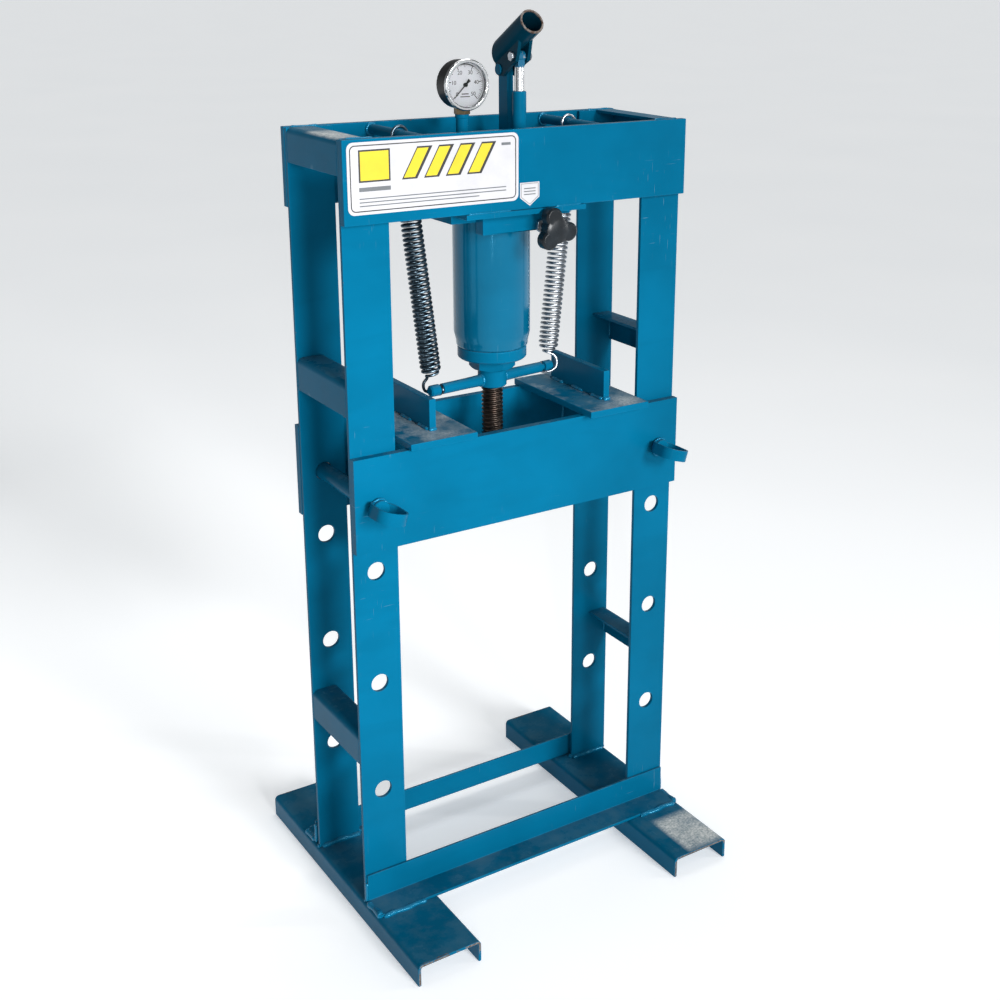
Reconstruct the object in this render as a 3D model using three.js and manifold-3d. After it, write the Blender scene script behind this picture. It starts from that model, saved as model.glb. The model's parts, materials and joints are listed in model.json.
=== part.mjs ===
// Hydraulic shop press: a welded H-frame of flat bars with a hand pump, a hydraulic ram that two
// springs pull back, an adjusting screw in the ram, a pinned bed and two loose press plates.
//
// Millimetres, +Z up, the origin on the floor at the middle of the press. The front faces -Y.

import * as THREE from 'three';
import { mergeVertices } from 'three/addons/utils/BufferGeometryUtils.js';
import Module from 'manifold-3d';

const wasm = await Module();
wasm.setup();

// ---------------------------------------------------------------- driving dimensions

const GAP = 0.3;                 // between pieces that touch or are welded together
const BORE_STEPS = 24;

const FRAME_WIDTH = 611;         // over the outer edges of the legs
const FRAME_DEPTH = 188;         // front face of the front legs to rear face of the rear legs
const LEG_WIDTH = 76.2;
const LEG_THICKNESS = 7.1;
const LEG_HOLE_HEIGHTS = [238, 430.4, 622.8];
const PIN_HOLE_DIAMETER = 30;

const FOOT_LENGTH = 562;
const FOOT_WIDTH = 113;
const FOOT_HEIGHT = 38.1;
const FOOT_OUTER_X = 309;
const FOOT_STEEL = 4.8;
const FOOT_BEND = 8;

const HEAD_TOP = 1288;
const HEAD_HEIGHT = 122;
const HEAD_PLATE = 12.7;
const HEAD_OVERHANG = 0.8;       // past the legs, each side

const ANGLE_STEEL = 4.8;
const SIDE_ANGLE_HEIGHT = 52.5;
const SIDE_ANGLE_FLANGE = 42;
const SIDE_ANGLE_BEND = 10;
const SIDE_ANGLE_TOPS = { head: HEAD_TOP, upper: 929.5, lower: 345 };
const FRONT_ANGLE = 50.8;
const REAR_ANGLE = 41;
const REAR_ANGLE_Y = 106;
const BASE_ANGLE_INSET = 2;

const BED_TOP = 814.4;
const BED_HEIGHT = 152.4;
const BED_PLATE = 12.7;
const BED_SPACER_X = 211;

const PIN_HEIGHT = 733;
const PIN_DIAMETER = 28.4;
const PIN_REAR_Y = 116;
const PIN_FRONT_Y = -119;
const HANDLE = { width: 50, strap: 3.2, height: 19, back: -108.5, front: -170.5, tilt: 17 };

const PRESS_PLATE_WIDTH = 117;
const PRESS_PLATE_LENGTH = 238;
const PRESS_PLATE_THICKNESS = 11;
const PRESS_RIB = 11.5;
const PRESS_RIB_HEIGHT = 50;
const PRESS_RIB_LENGTH = 161;
const PRESS_RIB_OFFSET = { x: 4, y: 7 };
const PRESS_PLATES = {
  left: { x: -154.5, y: 3.5 },
  right: { x: 170, y: -9 },
};

const MOUNT_PLATE = { halfX: 108, halfY: 110, thickness: 8 };
const TOP_PLATE = { halfX: 109, halfY: 64, bottom: 1145 };

const BARREL = { radius: 62.5, bore: 47.3, straightBottom: 953, shoulder: 940, bottom: 929, lip: 58.5 };
const BARREL_ROOF = 1119;
const GLAND = { radius: 56.75, bottom: 908.4, bore: 38.4, sealRadius: 42, sealDepth: 4 };
const RAM_RADIUS = 38;
const RAM_TOP = 1086;
const RAM_HEX = { acrossFlats: 66, bottom: 890, top: 908, turn: 26 };
const PISTON = { radius: 46.9, bottom: RAM_TOP + GAP, top: 1110, groove: 43, sealHeight: 8 };
const SCREW_RADIUS = 18;
const SCREW = { top: 1052, bottom: 745, bore: 18.6, boreTop: 1060 };
const NOSE = { radius: 22, bottom: 730, collar: 12 };

const CROSSBAR = {
  z: 871, hub: 24, hubBottom: 859, rootRadius: 9.8, armRadius: 8.8, end: 127, groove: 106, turn: 7,
};
const SPRING_ROD = { x: 160, z: 1277, radius: 8 };
const SPRING = {
  radius: 17,
  bottomZ: 898,
  topZ: 1250,
  ends: { left: [[-121, -13], [-157, 0]], right: [[118, 13], [160, 18]] },
};

const VALVE_BLOCK = { x: [-66, 52], y: [-86, -64.4], z: [1127.5, 1157.3] };
const VALVE = { x: 40, z: 1134, stemRadius: 5, stemBack: -70, nutFront: -93, nutFlats: 22 };
const KNOB = { back: -117, front: -139, hubBack: -110, hub: 12, core: 21, lobes: 3, lobe: 15, lobeAt: 21 };

const GAUGE = { x: -58, z: 1349, back: 5, front: -26, radius: 37, wall: 2, bezel: 39, glass: 33 };
const GAUGE_FACE = { bezelFront: -31, lensFront: -29, dialFront: -22, dialBack: -20.5 };
const GAUGE_NEEDLE = { tip: 28, tail: 10, boss: 3.2, front: -24.5, back: -23.5, rest: 225 };
const GAUGE_RISER = { x: -57, y: -10, radius: 9.5, top: 1304, rim: 11, flats: 22 };

const PUMP = { x: 47, y: -10, tube: 11.2, bore: 8.1, top: 1335, plunger: 7.8, plungerBottom: 1235 };
const PLUNGER_PIN = { z: 1388, radius: 4.5, eye: 8.5, eyeWidth: 14, halfLength: 15 };
const FULCRUM = { y: 30, z: 1366, radius: 5, head: 8.5, headThickness: 2, halfLength: 14.5 };
const POST = { width: 11, depth: 26 };
const LEVER = { cheekIn: 7.5, cheekOut: 13, rear: 40, socket: 20, bore: 17, boreDepth: 72, slotPlay: 0.9 };
const LEVER_MOUTH = { y: -47, z: 1442 };
const LEVER_TILT = 30;           // degrees above the horizontal
const LEVER_LENGTH = 112;

const LABEL = { x: [-300, -16], z: [1181, 1284], corner: 10, thickness: 0.5 };

// ---------------------------------------------------------------- values that follow

const HALF_WIDTH = FRAME_WIDTH / 2;
const HALF_DEPTH = FRAME_DEPTH / 2;
const LEG_INNER_X = HALF_WIDTH - LEG_WIDTH;
const LEG_MID_X = HALF_WIDTH - LEG_WIDTH / 2;
const LEG_BACK_Y = HALF_DEPTH - LEG_THICKNESS;
const PLATE_Y = HALF_DEPTH + GAP;                   // inner face of head and bed plates
const HEAD_BOTTOM = HEAD_TOP - HEAD_HEIGHT;
const BED_BOTTOM = BED_TOP - BED_HEIGHT;
const PLATE_FRONT_Y = -(PLATE_Y + HEAD_PLATE);
const MOUNT_TOP = HEAD_BOTTOM - GAP;
const MOUNT_BOTTOM = MOUNT_TOP - MOUNT_PLATE.thickness;
const ON_MOUNT = MOUNT_TOP + GAP;
const SIDES = { left: -1, right: 1 };

// ---------------------------------------------------------------- materials

function paint(colour, roughness, metalness = 0) {
  return new THREE.MeshStandardMaterial({ color: colour, roughness, metalness, flatShading: true });
}

const bluePaint = paint(0x0a6f9c, 0.35);
const darkPaint = paint(0x07324f, 0.45);
const bareSteel = paint(0x3b332e, 0.5, 0.9);
const chrome = paint(0xd6d9dc, 0.12, 1);
const zinc = paint(0x8f9da8, 0.35, 0.9);
const springSteel = paint(0x2a3f52, 0.4, 0.7);
const blackPlastic = paint(0x141617, 0.5);
const blackPaint = paint(0x16181a, 0.4);
const brass = paint(0x5d4a3c, 0.45, 0.8);
const rubber = paint(0x1b1b1b, 0.8);
const whiteFace = paint(0xe9ecec, 0.5);
const glass = new THREE.MeshStandardMaterial({
  color: 0xe8eef0, roughness: 0.05, transparent: true, opacity: 0.35,
});

// ---------------------------------------------------------------- geometry helpers

/** Keeps only position, merges shared corners, drops empty triangles and turns the faces out. */
function closed(geometry) {
  const bare = geometry.clone();
  bare.deleteAttribute('normal');
  bare.deleteAttribute('uv');
  const merged = mergeVertices(bare, 1e-4);
  const index = merged.index.array;
  const p = merged.attributes.position.array;
  const kept = [];
  let volume = 0;
  for (let i = 0; i < index.length; i += 3) {
    const [a, b, c] = [index[i], index[i + 1], index[i + 2]];
    if (a === b || b === c || a === c) continue;
    kept.push(a, b, c);
    const va = new THREE.Vector3().fromArray(p, 3 * a);
    const vb = new THREE.Vector3().fromArray(p, 3 * b);
    const vc = new THREE.Vector3().fromArray(p, 3 * c);
    volume += va.dot(vb.cross(vc));
  }
  if (volume < 0) kept.reverse();
  merged.setIndex(kept);
  return merged;
}

function toSolid(geometry) {
  const g = closed(geometry);
  const mesh = new wasm.Mesh({
    numProp: 3,
    vertProperties: new Float32Array(g.attributes.position.array),
    triVerts: new Uint32Array(g.index.array),
  });
  return new wasm.Manifold(mesh);
}

function fromSolid(solid) {
  const mesh = solid.getMesh();
  const g = new THREE.BufferGeometry();
  g.setAttribute('position', new THREE.BufferAttribute(new Float32Array(mesh.vertProperties), 3));
  g.setIndex(Array.from(mesh.triVerts));
  return g;
}

/** Takes the tools away from the body. */
function cut(body, ...tools) {
  let solid = toSolid(body);
  for (const tool of tools) solid = solid.subtract(toSolid(tool));
  return fromSolid(solid);
}

function join(...pieces) {
  let solid = toSolid(pieces[0]);
  for (const piece of pieces.slice(1)) solid = solid.add(toSolid(piece));
  return fromSolid(solid);
}

function common(body, tool) {
  return fromSolid(toSolid(body).intersect(toSolid(tool)));
}

function block([x0, x1], [y0, y1], [z0, z1]) {
  const g = new THREE.BoxGeometry(Math.abs(x1 - x0), Math.abs(y1 - y0), Math.abs(z1 - z0));
  return g.translate((x0 + x1) / 2, (y0 + y1) / 2, (z0 + z1) / 2);
}

// Each matrix carries a shape drawn in (x, y) and extruded along +z to the named direction.
const ALONG = {
  x: new THREE.Matrix4().set(0, 0, 1, 0, 1, 0, 0, 0, 0, 1, 0, 0, 0, 0, 0, 1),
  y: new THREE.Matrix4().set(1, 0, 0, 0, 0, 0, 1, 0, 0, 1, 0, 0, 0, 0, 0, 1),
  z: new THREE.Matrix4(),
};

/** Extrudes a shape along an axis. It is drawn in (y, z) for x, (x, z) for y and (x, y) for z. */
function prism(shape, axis, [from, to], curveSegments = 8) {
  const depth = to - from;
  const g = new THREE.ExtrudeGeometry(shape, { depth, bevelEnabled: false, curveSegments });
  g.translate(0, 0, from);
  return closed(g.applyMatrix4(ALONG[axis]));
}

/** A round bar along an axis, centred at (a, b) in the same order as prism's shapes. */
function bar(axis, radius, [a, b], span, steps = BORE_STEPS) {
  const shape = new THREE.Shape();
  for (let i = 0; i < steps; i += 1) {
    const t = (2 * Math.PI * (i + 0.5)) / steps;
    const [u, v] = [a + radius * Math.cos(t), b + radius * Math.sin(t)];
    if (i === 0) shape.moveTo(u, v);
    else shape.lineTo(u, v);
  }
  shape.closePath();
  return prism(shape, axis, span);
}

/** Turns a closed profile of [radius, height] points about a line along an axis through (a, b). */
function turned(profile, axis, [a, b], steps = 40) {
  const points = profile.map(([r, h]) => new THREE.Vector2(r, h));
  points.push(points[0].clone());
  const g = new THREE.LatheGeometry(points, steps);
  g.rotateX(Math.PI / 2);
  g.translate(a, b, 0);
  return closed(g.applyMatrix4(ALONG[axis]));
}

function polygon(points) {
  const shape = new THREE.Shape();
  points.forEach(([u, v], i) => (i === 0 ? shape.moveTo(u, v) : shape.lineTo(u, v)));
  shape.closePath();
  return shape;
}

function hexagon(acrossFlats, [a, b], turn = 0) {
  const r = acrossFlats / Math.sqrt(3);
  const corner = (i) => ((i * 60 + turn) * Math.PI) / 180;
  const at = (i) => [a + r * Math.cos(corner(i)), b + r * Math.sin(corner(i))];
  return polygon([0, 1, 2, 3, 4, 5].map(at));
}

function roundedRectangle([x0, x1], [z0, z1], r) {
  const s = new THREE.Shape();
  s.moveTo(x0 + r, z0);
  s.lineTo(x1 - r, z0);
  s.absarc(x1 - r, z0 + r, r, -Math.PI / 2, 0, false);
  s.lineTo(x1, z1 - r);
  s.absarc(x1 - r, z1 - r, r, 0, Math.PI / 2, false);
  s.lineTo(x0 + r, z1);
  s.absarc(x0 + r, z1 - r, r, Math.PI / 2, Math.PI, false);
  s.lineTo(x0, z0 + r);
  s.absarc(x0 + r, z0 + r, r, Math.PI, 1.5 * Math.PI, false);
  return s;
}

// ---------------------------------------------------------------- the scene graph

const press = new THREE.Group();

function group(name) {
  const g = new THREE.Group();
  g.name = name;
  press.add(g);
  return g;
}

const frame = group('frame');
const ramGroup = group('ram_assembly');
const screwGroup = group('screw_assembly');
const pumpGroup = group('pump_assembly');
const gaugeGroup = group('gauge_assembly');
const valveGroup = group('valve_assembly');
const bedGroup = group('bed_assembly');

function add(parent, name, geometry, material) {
  const mesh = new THREE.Mesh(closed(geometry), material);
  mesh.name = name;
  parent.add(mesh);
}

// ---------------------------------------------------------------- frame

function leg(side, front) {
  const x = SIDES[side];
  const y = front ? -HALF_DEPTH : LEG_BACK_Y;
  const span = [y, y + LEG_THICKNESS];
  const body = block([x * LEG_INNER_X, x * HALF_WIDTH], span, [FOOT_HEIGHT + GAP, HEAD_TOP - 1]);
  const through = [span[0] - 1, span[1] + 1];
  const heights = [...LEG_HOLE_HEIGHTS, PIN_HEIGHT];
  return cut(body, ...heights.map((z) => bar('y', PIN_HOLE_DIAMETER / 2, [x * LEG_MID_X, z], through)));
}

/** A channel lying with its flanges down, its two bends rounded. */
function foot(side) {
  const outer = SIDES[side] * FOOT_OUTER_X;
  const inner = SIDES[side] * (FOOT_OUTER_X - FOOT_WIDTH);
  const [x0, x1] = outer < inner ? [outer, inner] : [inner, outer];
  const [t, r] = [FOOT_STEEL, FOOT_BEND];
  const s = new THREE.Shape();
  s.moveTo(x0, 0);
  s.lineTo(x0 + t, 0);
  s.lineTo(x0 + t, FOOT_HEIGHT - r);
  s.absarc(x0 + r, FOOT_HEIGHT - r, r - t, Math.PI, Math.PI / 2, true);
  s.lineTo(x1 - r, FOOT_HEIGHT - t);
  s.absarc(x1 - r, FOOT_HEIGHT - r, r - t, Math.PI / 2, 0, true);
  s.lineTo(x1 - t, 0);
  s.lineTo(x1, 0);
  s.lineTo(x1, FOOT_HEIGHT - r);
  s.absarc(x1 - r, FOOT_HEIGHT - r, r, 0, Math.PI / 2, false);
  s.lineTo(x0 + r, FOOT_HEIGHT);
  s.absarc(x0 + r, FOOT_HEIGHT - r, r, Math.PI / 2, Math.PI, false);
  s.lineTo(x0, 0);
  return prism(s, 'y', [-FOOT_LENGTH / 2, FOOT_LENGTH / 2], 5);
}

/** A folded angle between the front and rear legs: its bend is up, its flange points inwards. */
function sideAngle(side, top) {
  const [t, r, h, w] = [ANGLE_STEEL, SIDE_ANGLE_BEND, SIDE_ANGLE_HEIGHT, SIDE_ANGLE_FLANGE];
  const s = new THREE.Shape();
  s.moveTo(0, 0);
  s.lineTo(0, h - r);
  s.absarc(r, h - r, r, Math.PI, Math.PI / 2, true);
  s.lineTo(w, h);
  s.lineTo(w, h - t);
  s.lineTo(r, h - t);
  s.absarc(r, h - r, r - t, Math.PI / 2, Math.PI, false);
  s.lineTo(t, 0);
  s.lineTo(0, 0);
  const g = prism(s, 'y', [-LEG_BACK_Y + GAP, LEG_BACK_Y - GAP], 6);
  if (side === 'right') g.scale(-1, 1, 1);
  return g.translate(SIDES[side] * HALF_WIDTH, 0, top - h);
}

/** A rolled angle lying on the feet, one flange upright. `out` is the way its other flange points. */
function baseAngle(leg_, yUpright, out) {
  const t = ANGLE_STEEL;
  const z = FOOT_HEIGHT + GAP;
  const points = [[0, 0], [leg_, 0], [leg_, t], [t, t], [t, leg_], [0, leg_]];
  const shape = polygon(points.map(([u, v]) => [yUpright + out * u, z + v]));
  return prism(shape, 'x', [-(HALF_WIDTH - BASE_ANGLE_INSET), HALF_WIDTH - BASE_ANGLE_INSET]);
}

function headPlate(front) {
  const y = front ? -PLATE_Y - HEAD_PLATE : PLATE_Y;
  const half = HALF_WIDTH + HEAD_OVERHANG;
  return block([-half, half], [y, y + HEAD_PLATE], [HEAD_BOTTOM, HEAD_TOP]);
}

function buildFrame() {
  for (const side of ['left', 'right']) {
    add(frame, `leg_front_${side}`, leg(side, true), bluePaint);
    add(frame, `leg_rear_${side}`, leg(side, false), bluePaint);
    add(frame, `foot_${side}`, foot(side), bluePaint);
    add(frame, `head_angle_${side}`, sideAngle(side, SIDE_ANGLE_TOPS.head), bluePaint);
    add(frame, `side_angle_upper_${side}`, sideAngle(side, SIDE_ANGLE_TOPS.upper), bluePaint);
    add(frame, `side_angle_lower_${side}`, sideAngle(side, SIDE_ANGLE_TOPS.lower), bluePaint);
    const rodAt = [SIDES[side] * SPRING_ROD.x, SPRING_ROD.z];
    const rod = bar('y', SPRING_ROD.radius, rodAt, [-HALF_DEPTH, HALF_DEPTH], 16);
    add(frame, `spring_rod_${side}`, rod, bluePaint);
  }
  add(frame, 'base_angle_front', baseAngle(FRONT_ANGLE, -HALF_DEPTH - GAP, -1), bluePaint);
  add(frame, 'base_angle_rear', baseAngle(REAR_ANGLE, REAR_ANGLE_Y, 1), bluePaint);
  add(frame, 'head_plate_front', headPlate(true), bluePaint);
  add(frame, 'head_plate_rear', headPlate(false), bluePaint);

  const onPlate = PLATE_FRONT_Y - GAP;
  const label = roundedRectangle(LABEL.x, LABEL.z, LABEL.corner);
  add(frame, 'head_label', prism(label, 'y', [onPlate - LABEL.thickness, onPlate], 5), whiteFace);
}

// ---------------------------------------------------------------- cylinder and ram

function mountPlate() {
  const { halfX, halfY } = MOUNT_PLATE;
  return block([-halfX, halfX], [-halfY, halfY], [MOUNT_BOTTOM, MOUNT_TOP]);
}

function topPlate() {
  const { halfX, halfY, bottom } = TOP_PLATE;
  return block([-halfX, halfX], [-halfY, halfY], [bottom, MOUNT_BOTTOM - GAP]);
}

function barrel() {
  const { radius, bore, straightBottom, shoulder, bottom, lip } = BARREL;
  const top = TOP_PLATE.bottom - GAP;
  return turned([
    [0, top], [radius, top], [radius, straightBottom], [lip + 1, shoulder], [lip, bottom + 2],
    [lip - 2, bottom], [bore, bottom], [bore, BARREL_ROOF], [0, BARREL_ROOF],
  ], 'z', [0, 0], 48);
}

function gland() {
  const { radius, bottom, bore, sealRadius, sealDepth } = GLAND;
  const top = BARREL.bottom - GAP;
  const spigot = BARREL.bore - GAP;
  return turned([
    [bore, top + 22], [spigot, top + 22], [spigot, top], [radius - 1, top], [radius, top - 1.5],
    [radius, bottom + 3], [radius - 3, bottom], [sealRadius + GAP, bottom],
    [sealRadius + GAP, bottom + sealDepth], [bore, bottom + sealDepth],
  ], 'z', [0, 0]);
}

function ram() {
  const hexShape = hexagon(RAM_HEX.acrossFlats, [0, 0], RAM_HEX.turn);
  const hex = prism(hexShape, 'z', [RAM_HEX.bottom, RAM_HEX.top]);
  const chamfer = turned([
    [0, RAM_HEX.bottom], [RAM_HEX.acrossFlats / 2, RAM_HEX.bottom],
    [RAM_HEX.acrossFlats / 2 + 5.2, RAM_HEX.bottom + 3], [RAM_HEX.acrossFlats / 2 + 5.2, RAM_HEX.top],
    [0, RAM_HEX.top],
  ], 'z', [0, 0]);
  const stem = bar('z', RAM_RADIUS, [0, 0], [RAM_HEX.top - 1, RAM_TOP], 40);
  const bore = bar('z', SCREW.bore, [0, 0], [RAM_HEX.bottom - 1, SCREW.boreTop]);
  return cut(join(common(hex, chamfer), stem), bore);
}

function piston() {
  const { radius, bottom, top, groove, sealHeight } = PISTON;
  const mid = (bottom + top) / 2;
  const [g0, g1] = [mid - sealHeight / 2, mid + sealHeight / 2];
  const body = [
    [0, bottom], [radius, bottom], [radius, g0], [groove, g0], [groove, g1], [radius, g1],
    [radius, top], [0, top],
  ];
  const ring = [
    [groove + GAP, g0 + GAP], [radius, g0 + GAP], [radius, g1 - GAP], [groove + GAP, g1 - GAP],
  ];
  add(ramGroup, 'piston', turned(body, 'z', [0, 0]), bareSteel);
  add(ramGroup, 'piston_seal', turned(ring, 'z', [0, 0]), rubber);
}

/** A hub under the ram with two round arms, each with a groove for a spring hook near its end. */
function crossbar() {
  const { z, hub, hubBottom, rootRadius, armRadius, end, groove, turn } = CROSSBAR;
  const neck = 5.2;
  const arm = turned([
    [0, hub - 3], [rootRadius, hub - 3], [rootRadius - 0.8, hub + 30], [armRadius, groove - 3.5], [neck, groove - 3], [neck, groove + 3],
    [armRadius + 0.6, groove + 3.5], [armRadius + 0.6, end - 2.5], [armRadius - 2, end], [0, end],
  ], 'x', [0, 0], 20);
  const other = arm.clone().rotateZ(Math.PI);
  const arms = [arm, other].map((g) => g.rotateZ((turn * Math.PI) / 180).translate(0, 0, z));
  const body = turned([
    [0, hubBottom], [hub - 2, hubBottom], [hub, hubBottom + 2], [hub, RAM_HEX.bottom - GAP],
    [0, RAM_HEX.bottom - GAP],
  ], 'z', [0, 0]);
  const bore = bar('z', SCREW.bore, [0, 0], [hubBottom - 1, RAM_HEX.bottom + 1]);
  return cut(join(body, ...arms), bore);
}

/** A plain leaning cylinder in the space that a coil spring takes. */
function spring([[xBottom, yBottom], [xTop, yTop]]) {
  const low = new THREE.Vector3(xBottom, yBottom, SPRING.bottomZ);
  const high = new THREE.Vector3(xTop, yTop, SPRING.topZ);
  const axis = high.clone().sub(low);
  const g = new THREE.CylinderGeometry(SPRING.radius, SPRING.radius, axis.length(), 16);
  const tilt = new THREE.Quaternion().setFromUnitVectors(new THREE.Vector3(0, 1, 0), axis.normalize());
  g.applyQuaternion(tilt);
  const middle = low.add(high).multiplyScalar(0.5);
  return g.translate(middle.x, middle.y, middle.z);
}

function buildRam() {
  add(frame, 'mount_plate', mountPlate(), bluePaint);
  add(frame, 'cylinder_top_plate', topPlate(), bluePaint);
  add(frame, 'cylinder_barrel', barrel(), bluePaint);
  add(frame, 'cylinder_gland', gland(), bluePaint);
  const { bottom, sealRadius, sealDepth } = GLAND;
  const wiper = [
    [RAM_RADIUS + GAP, bottom + GAP], [sealRadius, bottom + GAP],
    [sealRadius, bottom + sealDepth - GAP], [RAM_RADIUS + GAP, bottom + sealDepth - GAP],
  ];
  add(frame, 'wiper_seal', turned(wiper, 'z', [0, 0]), rubber);
  piston();
  add(ramGroup, 'ram', ram(), bluePaint);
  add(ramGroup, 'spring_crossbar', crossbar(), bluePaint);
  add(frame, 'return_spring_left', spring(SPRING.ends.left), springSteel);
  add(frame, 'return_spring_right', spring(SPRING.ends.right), zinc);
}

function buildScrew() {
  const { top, bottom } = SCREW;
  const rod = turned([
    [0, bottom], [SCREW_RADIUS - 2, bottom], [SCREW_RADIUS, bottom + 2], [SCREW_RADIUS, top - 2],
    [SCREW_RADIUS - 2, top], [0, top],
  ], 'z', [0, 0], 24);
  add(screwGroup, 'adjusting_screw', rod, bareSteel);
  const nose = turned([
    [0, NOSE.bottom], [NOSE.radius - 2, NOSE.bottom], [NOSE.radius, NOSE.bottom + 2],
    [NOSE.radius, NOSE.bottom + NOSE.collar], [NOSE.radius - 2, bottom - GAP], [0, bottom - GAP],
  ], 'z', [0, 0], 24);
  add(screwGroup, 'screw_nose', nose, bareSteel);
}

// ---------------------------------------------------------------- release valve

/** A handwheel with round lobes and a short hub behind it, on the end of the valve's stem. */
function releaseKnob() {
  const { x, z, stemRadius } = VALVE;
  const { back, front, hubBack, hub, core, lobes, lobe, lobeAt } = KNOB;
  const profile = [
    [0, hubBack], [hub - 1, hubBack], [hub, hubBack - 1], [hub + 1, back + 1], [core, back],
    [core, front + 4], [core - 6, front + 1], [0, front],
  ];
  const middle = turned(profile, 'y', [x, z], 30);
  const rim = [];
  for (let i = 0; i < lobes; i += 1) {
    const t = (2 * Math.PI * (i + 0.9)) / lobes;
    const at = [x + lobeAt * Math.cos(t), z + lobeAt * Math.sin(t)];
    const round = turned([
      [0, back], [lobe - 1.5, back], [lobe, back - 1.5], [lobe, front + 6], [lobe - 3, front + 3], [0, front + 3],
    ], 'y', at, 18);
    rim.push(round);
  }
  const socket = bar('y', stemRadius + GAP, [x, z], [back - 13 - GAP, hubBack + 1], 16);
  return cut(join(middle, ...rim), socket);
}

function buildValve() {
  const { x, z, stemRadius, stemBack, nutFront, nutFlats } = VALVE;
  const blockFront = VALVE_BLOCK.y[0];
  const body = block(VALVE_BLOCK.x, VALVE_BLOCK.y, VALVE_BLOCK.z);
  const bore = bar('y', stemRadius + GAP, [x, z], [blockFront - 1, stemBack + 1], 16);
  add(valveGroup, 'valve_block', cut(body, bore), bluePaint);
  const nutBlank = prism(hexagon(nutFlats, [x, z], 20), 'y', [nutFront, blockFront - GAP]);
  const nutBore = bar('y', stemRadius + GAP, [x, z], [nutFront - 1, blockFront + 1], 16);
  add(valveGroup, 'valve_gland_nut', cut(nutBlank, nutBore), zinc);
  const stem = bar('y', stemRadius, [x, z], [KNOB.back - 13, stemBack], 16);
  add(valveGroup, 'release_valve_stem', stem, zinc);
  add(valveGroup, 'release_knob', releaseKnob(), blackPlastic);
}

// ---------------------------------------------------------------- pressure gauge

/** A pointer that is drawn upright and then turned to its zero, down and to the left. */
function gaugeNeedle() {
  const { tip, tail, boss, front, back, rest } = GAUGE_NEEDLE;
  const outline = polygon([[-2.6, -tail], [2.6, -tail], [0.8, 0], [0.5, tip], [-0.5, tip], [-0.8, 0]]);
  const pointer = prism(outline, 'y', [front, back]);
  pointer.rotateY((rest * Math.PI) / 180);
  pointer.translate(GAUGE.x, 0, GAUGE.z);
  const hub = bar('y', boss, [GAUGE.x, GAUGE.z], [front - 1, GAUGE_FACE.dialFront - GAP], 16);
  return join(pointer, hub);
}

function buildGauge() {
  const { x, z, back, front, radius, wall, bezel, glass: glassRadius } = GAUGE;
  const riserAt = [GAUGE_RISER.x, GAUGE_RISER.y];
  const { radius: pipe, top, rim, flats } = GAUGE_RISER;
  const riser = turned([
    [0, ON_MOUNT], [pipe, ON_MOUNT], [pipe, top - 6], [rim, top - 5], [rim, top], [0, top],
  ], 'z', riserAt, 24);
  add(gaugeGroup, 'gauge_riser', riser, bluePaint);
  const stem = prism(hexagon(flats, riserAt, 20), 'z', [top + GAP, z - radius + 2]);
  const room = bar('y', radius + GAP, [x, z], [front - 10, back + 10], 48);
  add(gaugeGroup, 'gauge_stem', cut(stem, room), brass);

  const at = [x, z];
  const shell = [
    [0, back], [radius - 4, back], [radius, back - 4], [radius, front], [radius - wall, front],
    [radius - wall, back - wall - 3], [0, back - wall - 3],
  ];
  add(gaugeGroup, 'gauge_case', turned(shell, 'y', at, 36), blackPaint);
  const { bezelFront, lensFront, dialFront, dialBack } = GAUGE_FACE;
  const inner = radius - wall - GAP;
  add(gaugeGroup, 'gauge_dial', bar('y', inner, at, [dialFront, dialBack], 36), whiteFace);
  add(gaugeGroup, 'gauge_needle', gaugeNeedle(), blackPaint);
  add(gaugeGroup, 'gauge_lens', bar('y', glassRadius - GAP, at, [lensFront, lensFront + 2], 36), glass);
  const ring = [
    [glassRadius, front - GAP], [bezel, front - GAP], [bezel, bezelFront + 2], [bezel - 1.5, bezelFront],
    [glassRadius + 1, bezelFront], [glassRadius, bezelFront + 1],
  ];
  add(gaugeGroup, 'gauge_bezel', turned(ring, 'y', at, 36), chrome);
}

// ---------------------------------------------------------------- hand pump

function plunger() {
  const { x, y, bore, top, plunger: radius, plungerBottom } = PUMP;
  const rod = bar('z', radius, [x, y], [plungerBottom, PLUNGER_PIN.z - 14], 20);
  const half = PLUNGER_PIN.eyeWidth / 2;
  const eye = bar('x', PLUNGER_PIN.eye, [y, PLUNGER_PIN.z], [x - half, x + half]);
  const throat = [PLUNGER_PIN.z - 15, PLUNGER_PIN.z];
  const neck = block([x - half + 1, x + half - 1], [y - bore + 1.5, y + bore - 1.5], throat);
  const hole = bar('x', PLUNGER_PIN.radius + GAP, [y, PLUNGER_PIN.z], [x - 20, x + 20], 16);
  add(pumpGroup, 'pump_plunger', cut(join(rod, eye, neck), hole), chrome);

  const tubeShape = [
    [0, ON_MOUNT], [PUMP.tube, ON_MOUNT], [PUMP.tube, top - 1.5], [PUMP.tube - 1.5, top], [bore, top],
    [bore, plungerBottom - 32], [0, plungerBottom - 32],
  ];
  add(pumpGroup, 'pump_tube', turned(tubeShape, 'z', [x, y], 24), bluePaint);

  const pinAt = [y, PLUNGER_PIN.z];
  const { halfLength } = PLUNGER_PIN;
  const shank = bar('x', PLUNGER_PIN.radius, pinAt, [x - halfLength, x + halfLength], 16);
  const head = prism(hexagon(14, pinAt, 0), 'x', [x + LEVER.cheekOut + GAP, x + LEVER.cheekOut + 6]);
  const nut = prism(hexagon(13, pinAt, 15), 'x', [x - LEVER.cheekOut - 4, x - LEVER.cheekOut - GAP]);
  add(pumpGroup, 'plunger_bolt', join(shank, head, nut), zinc);
}

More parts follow.
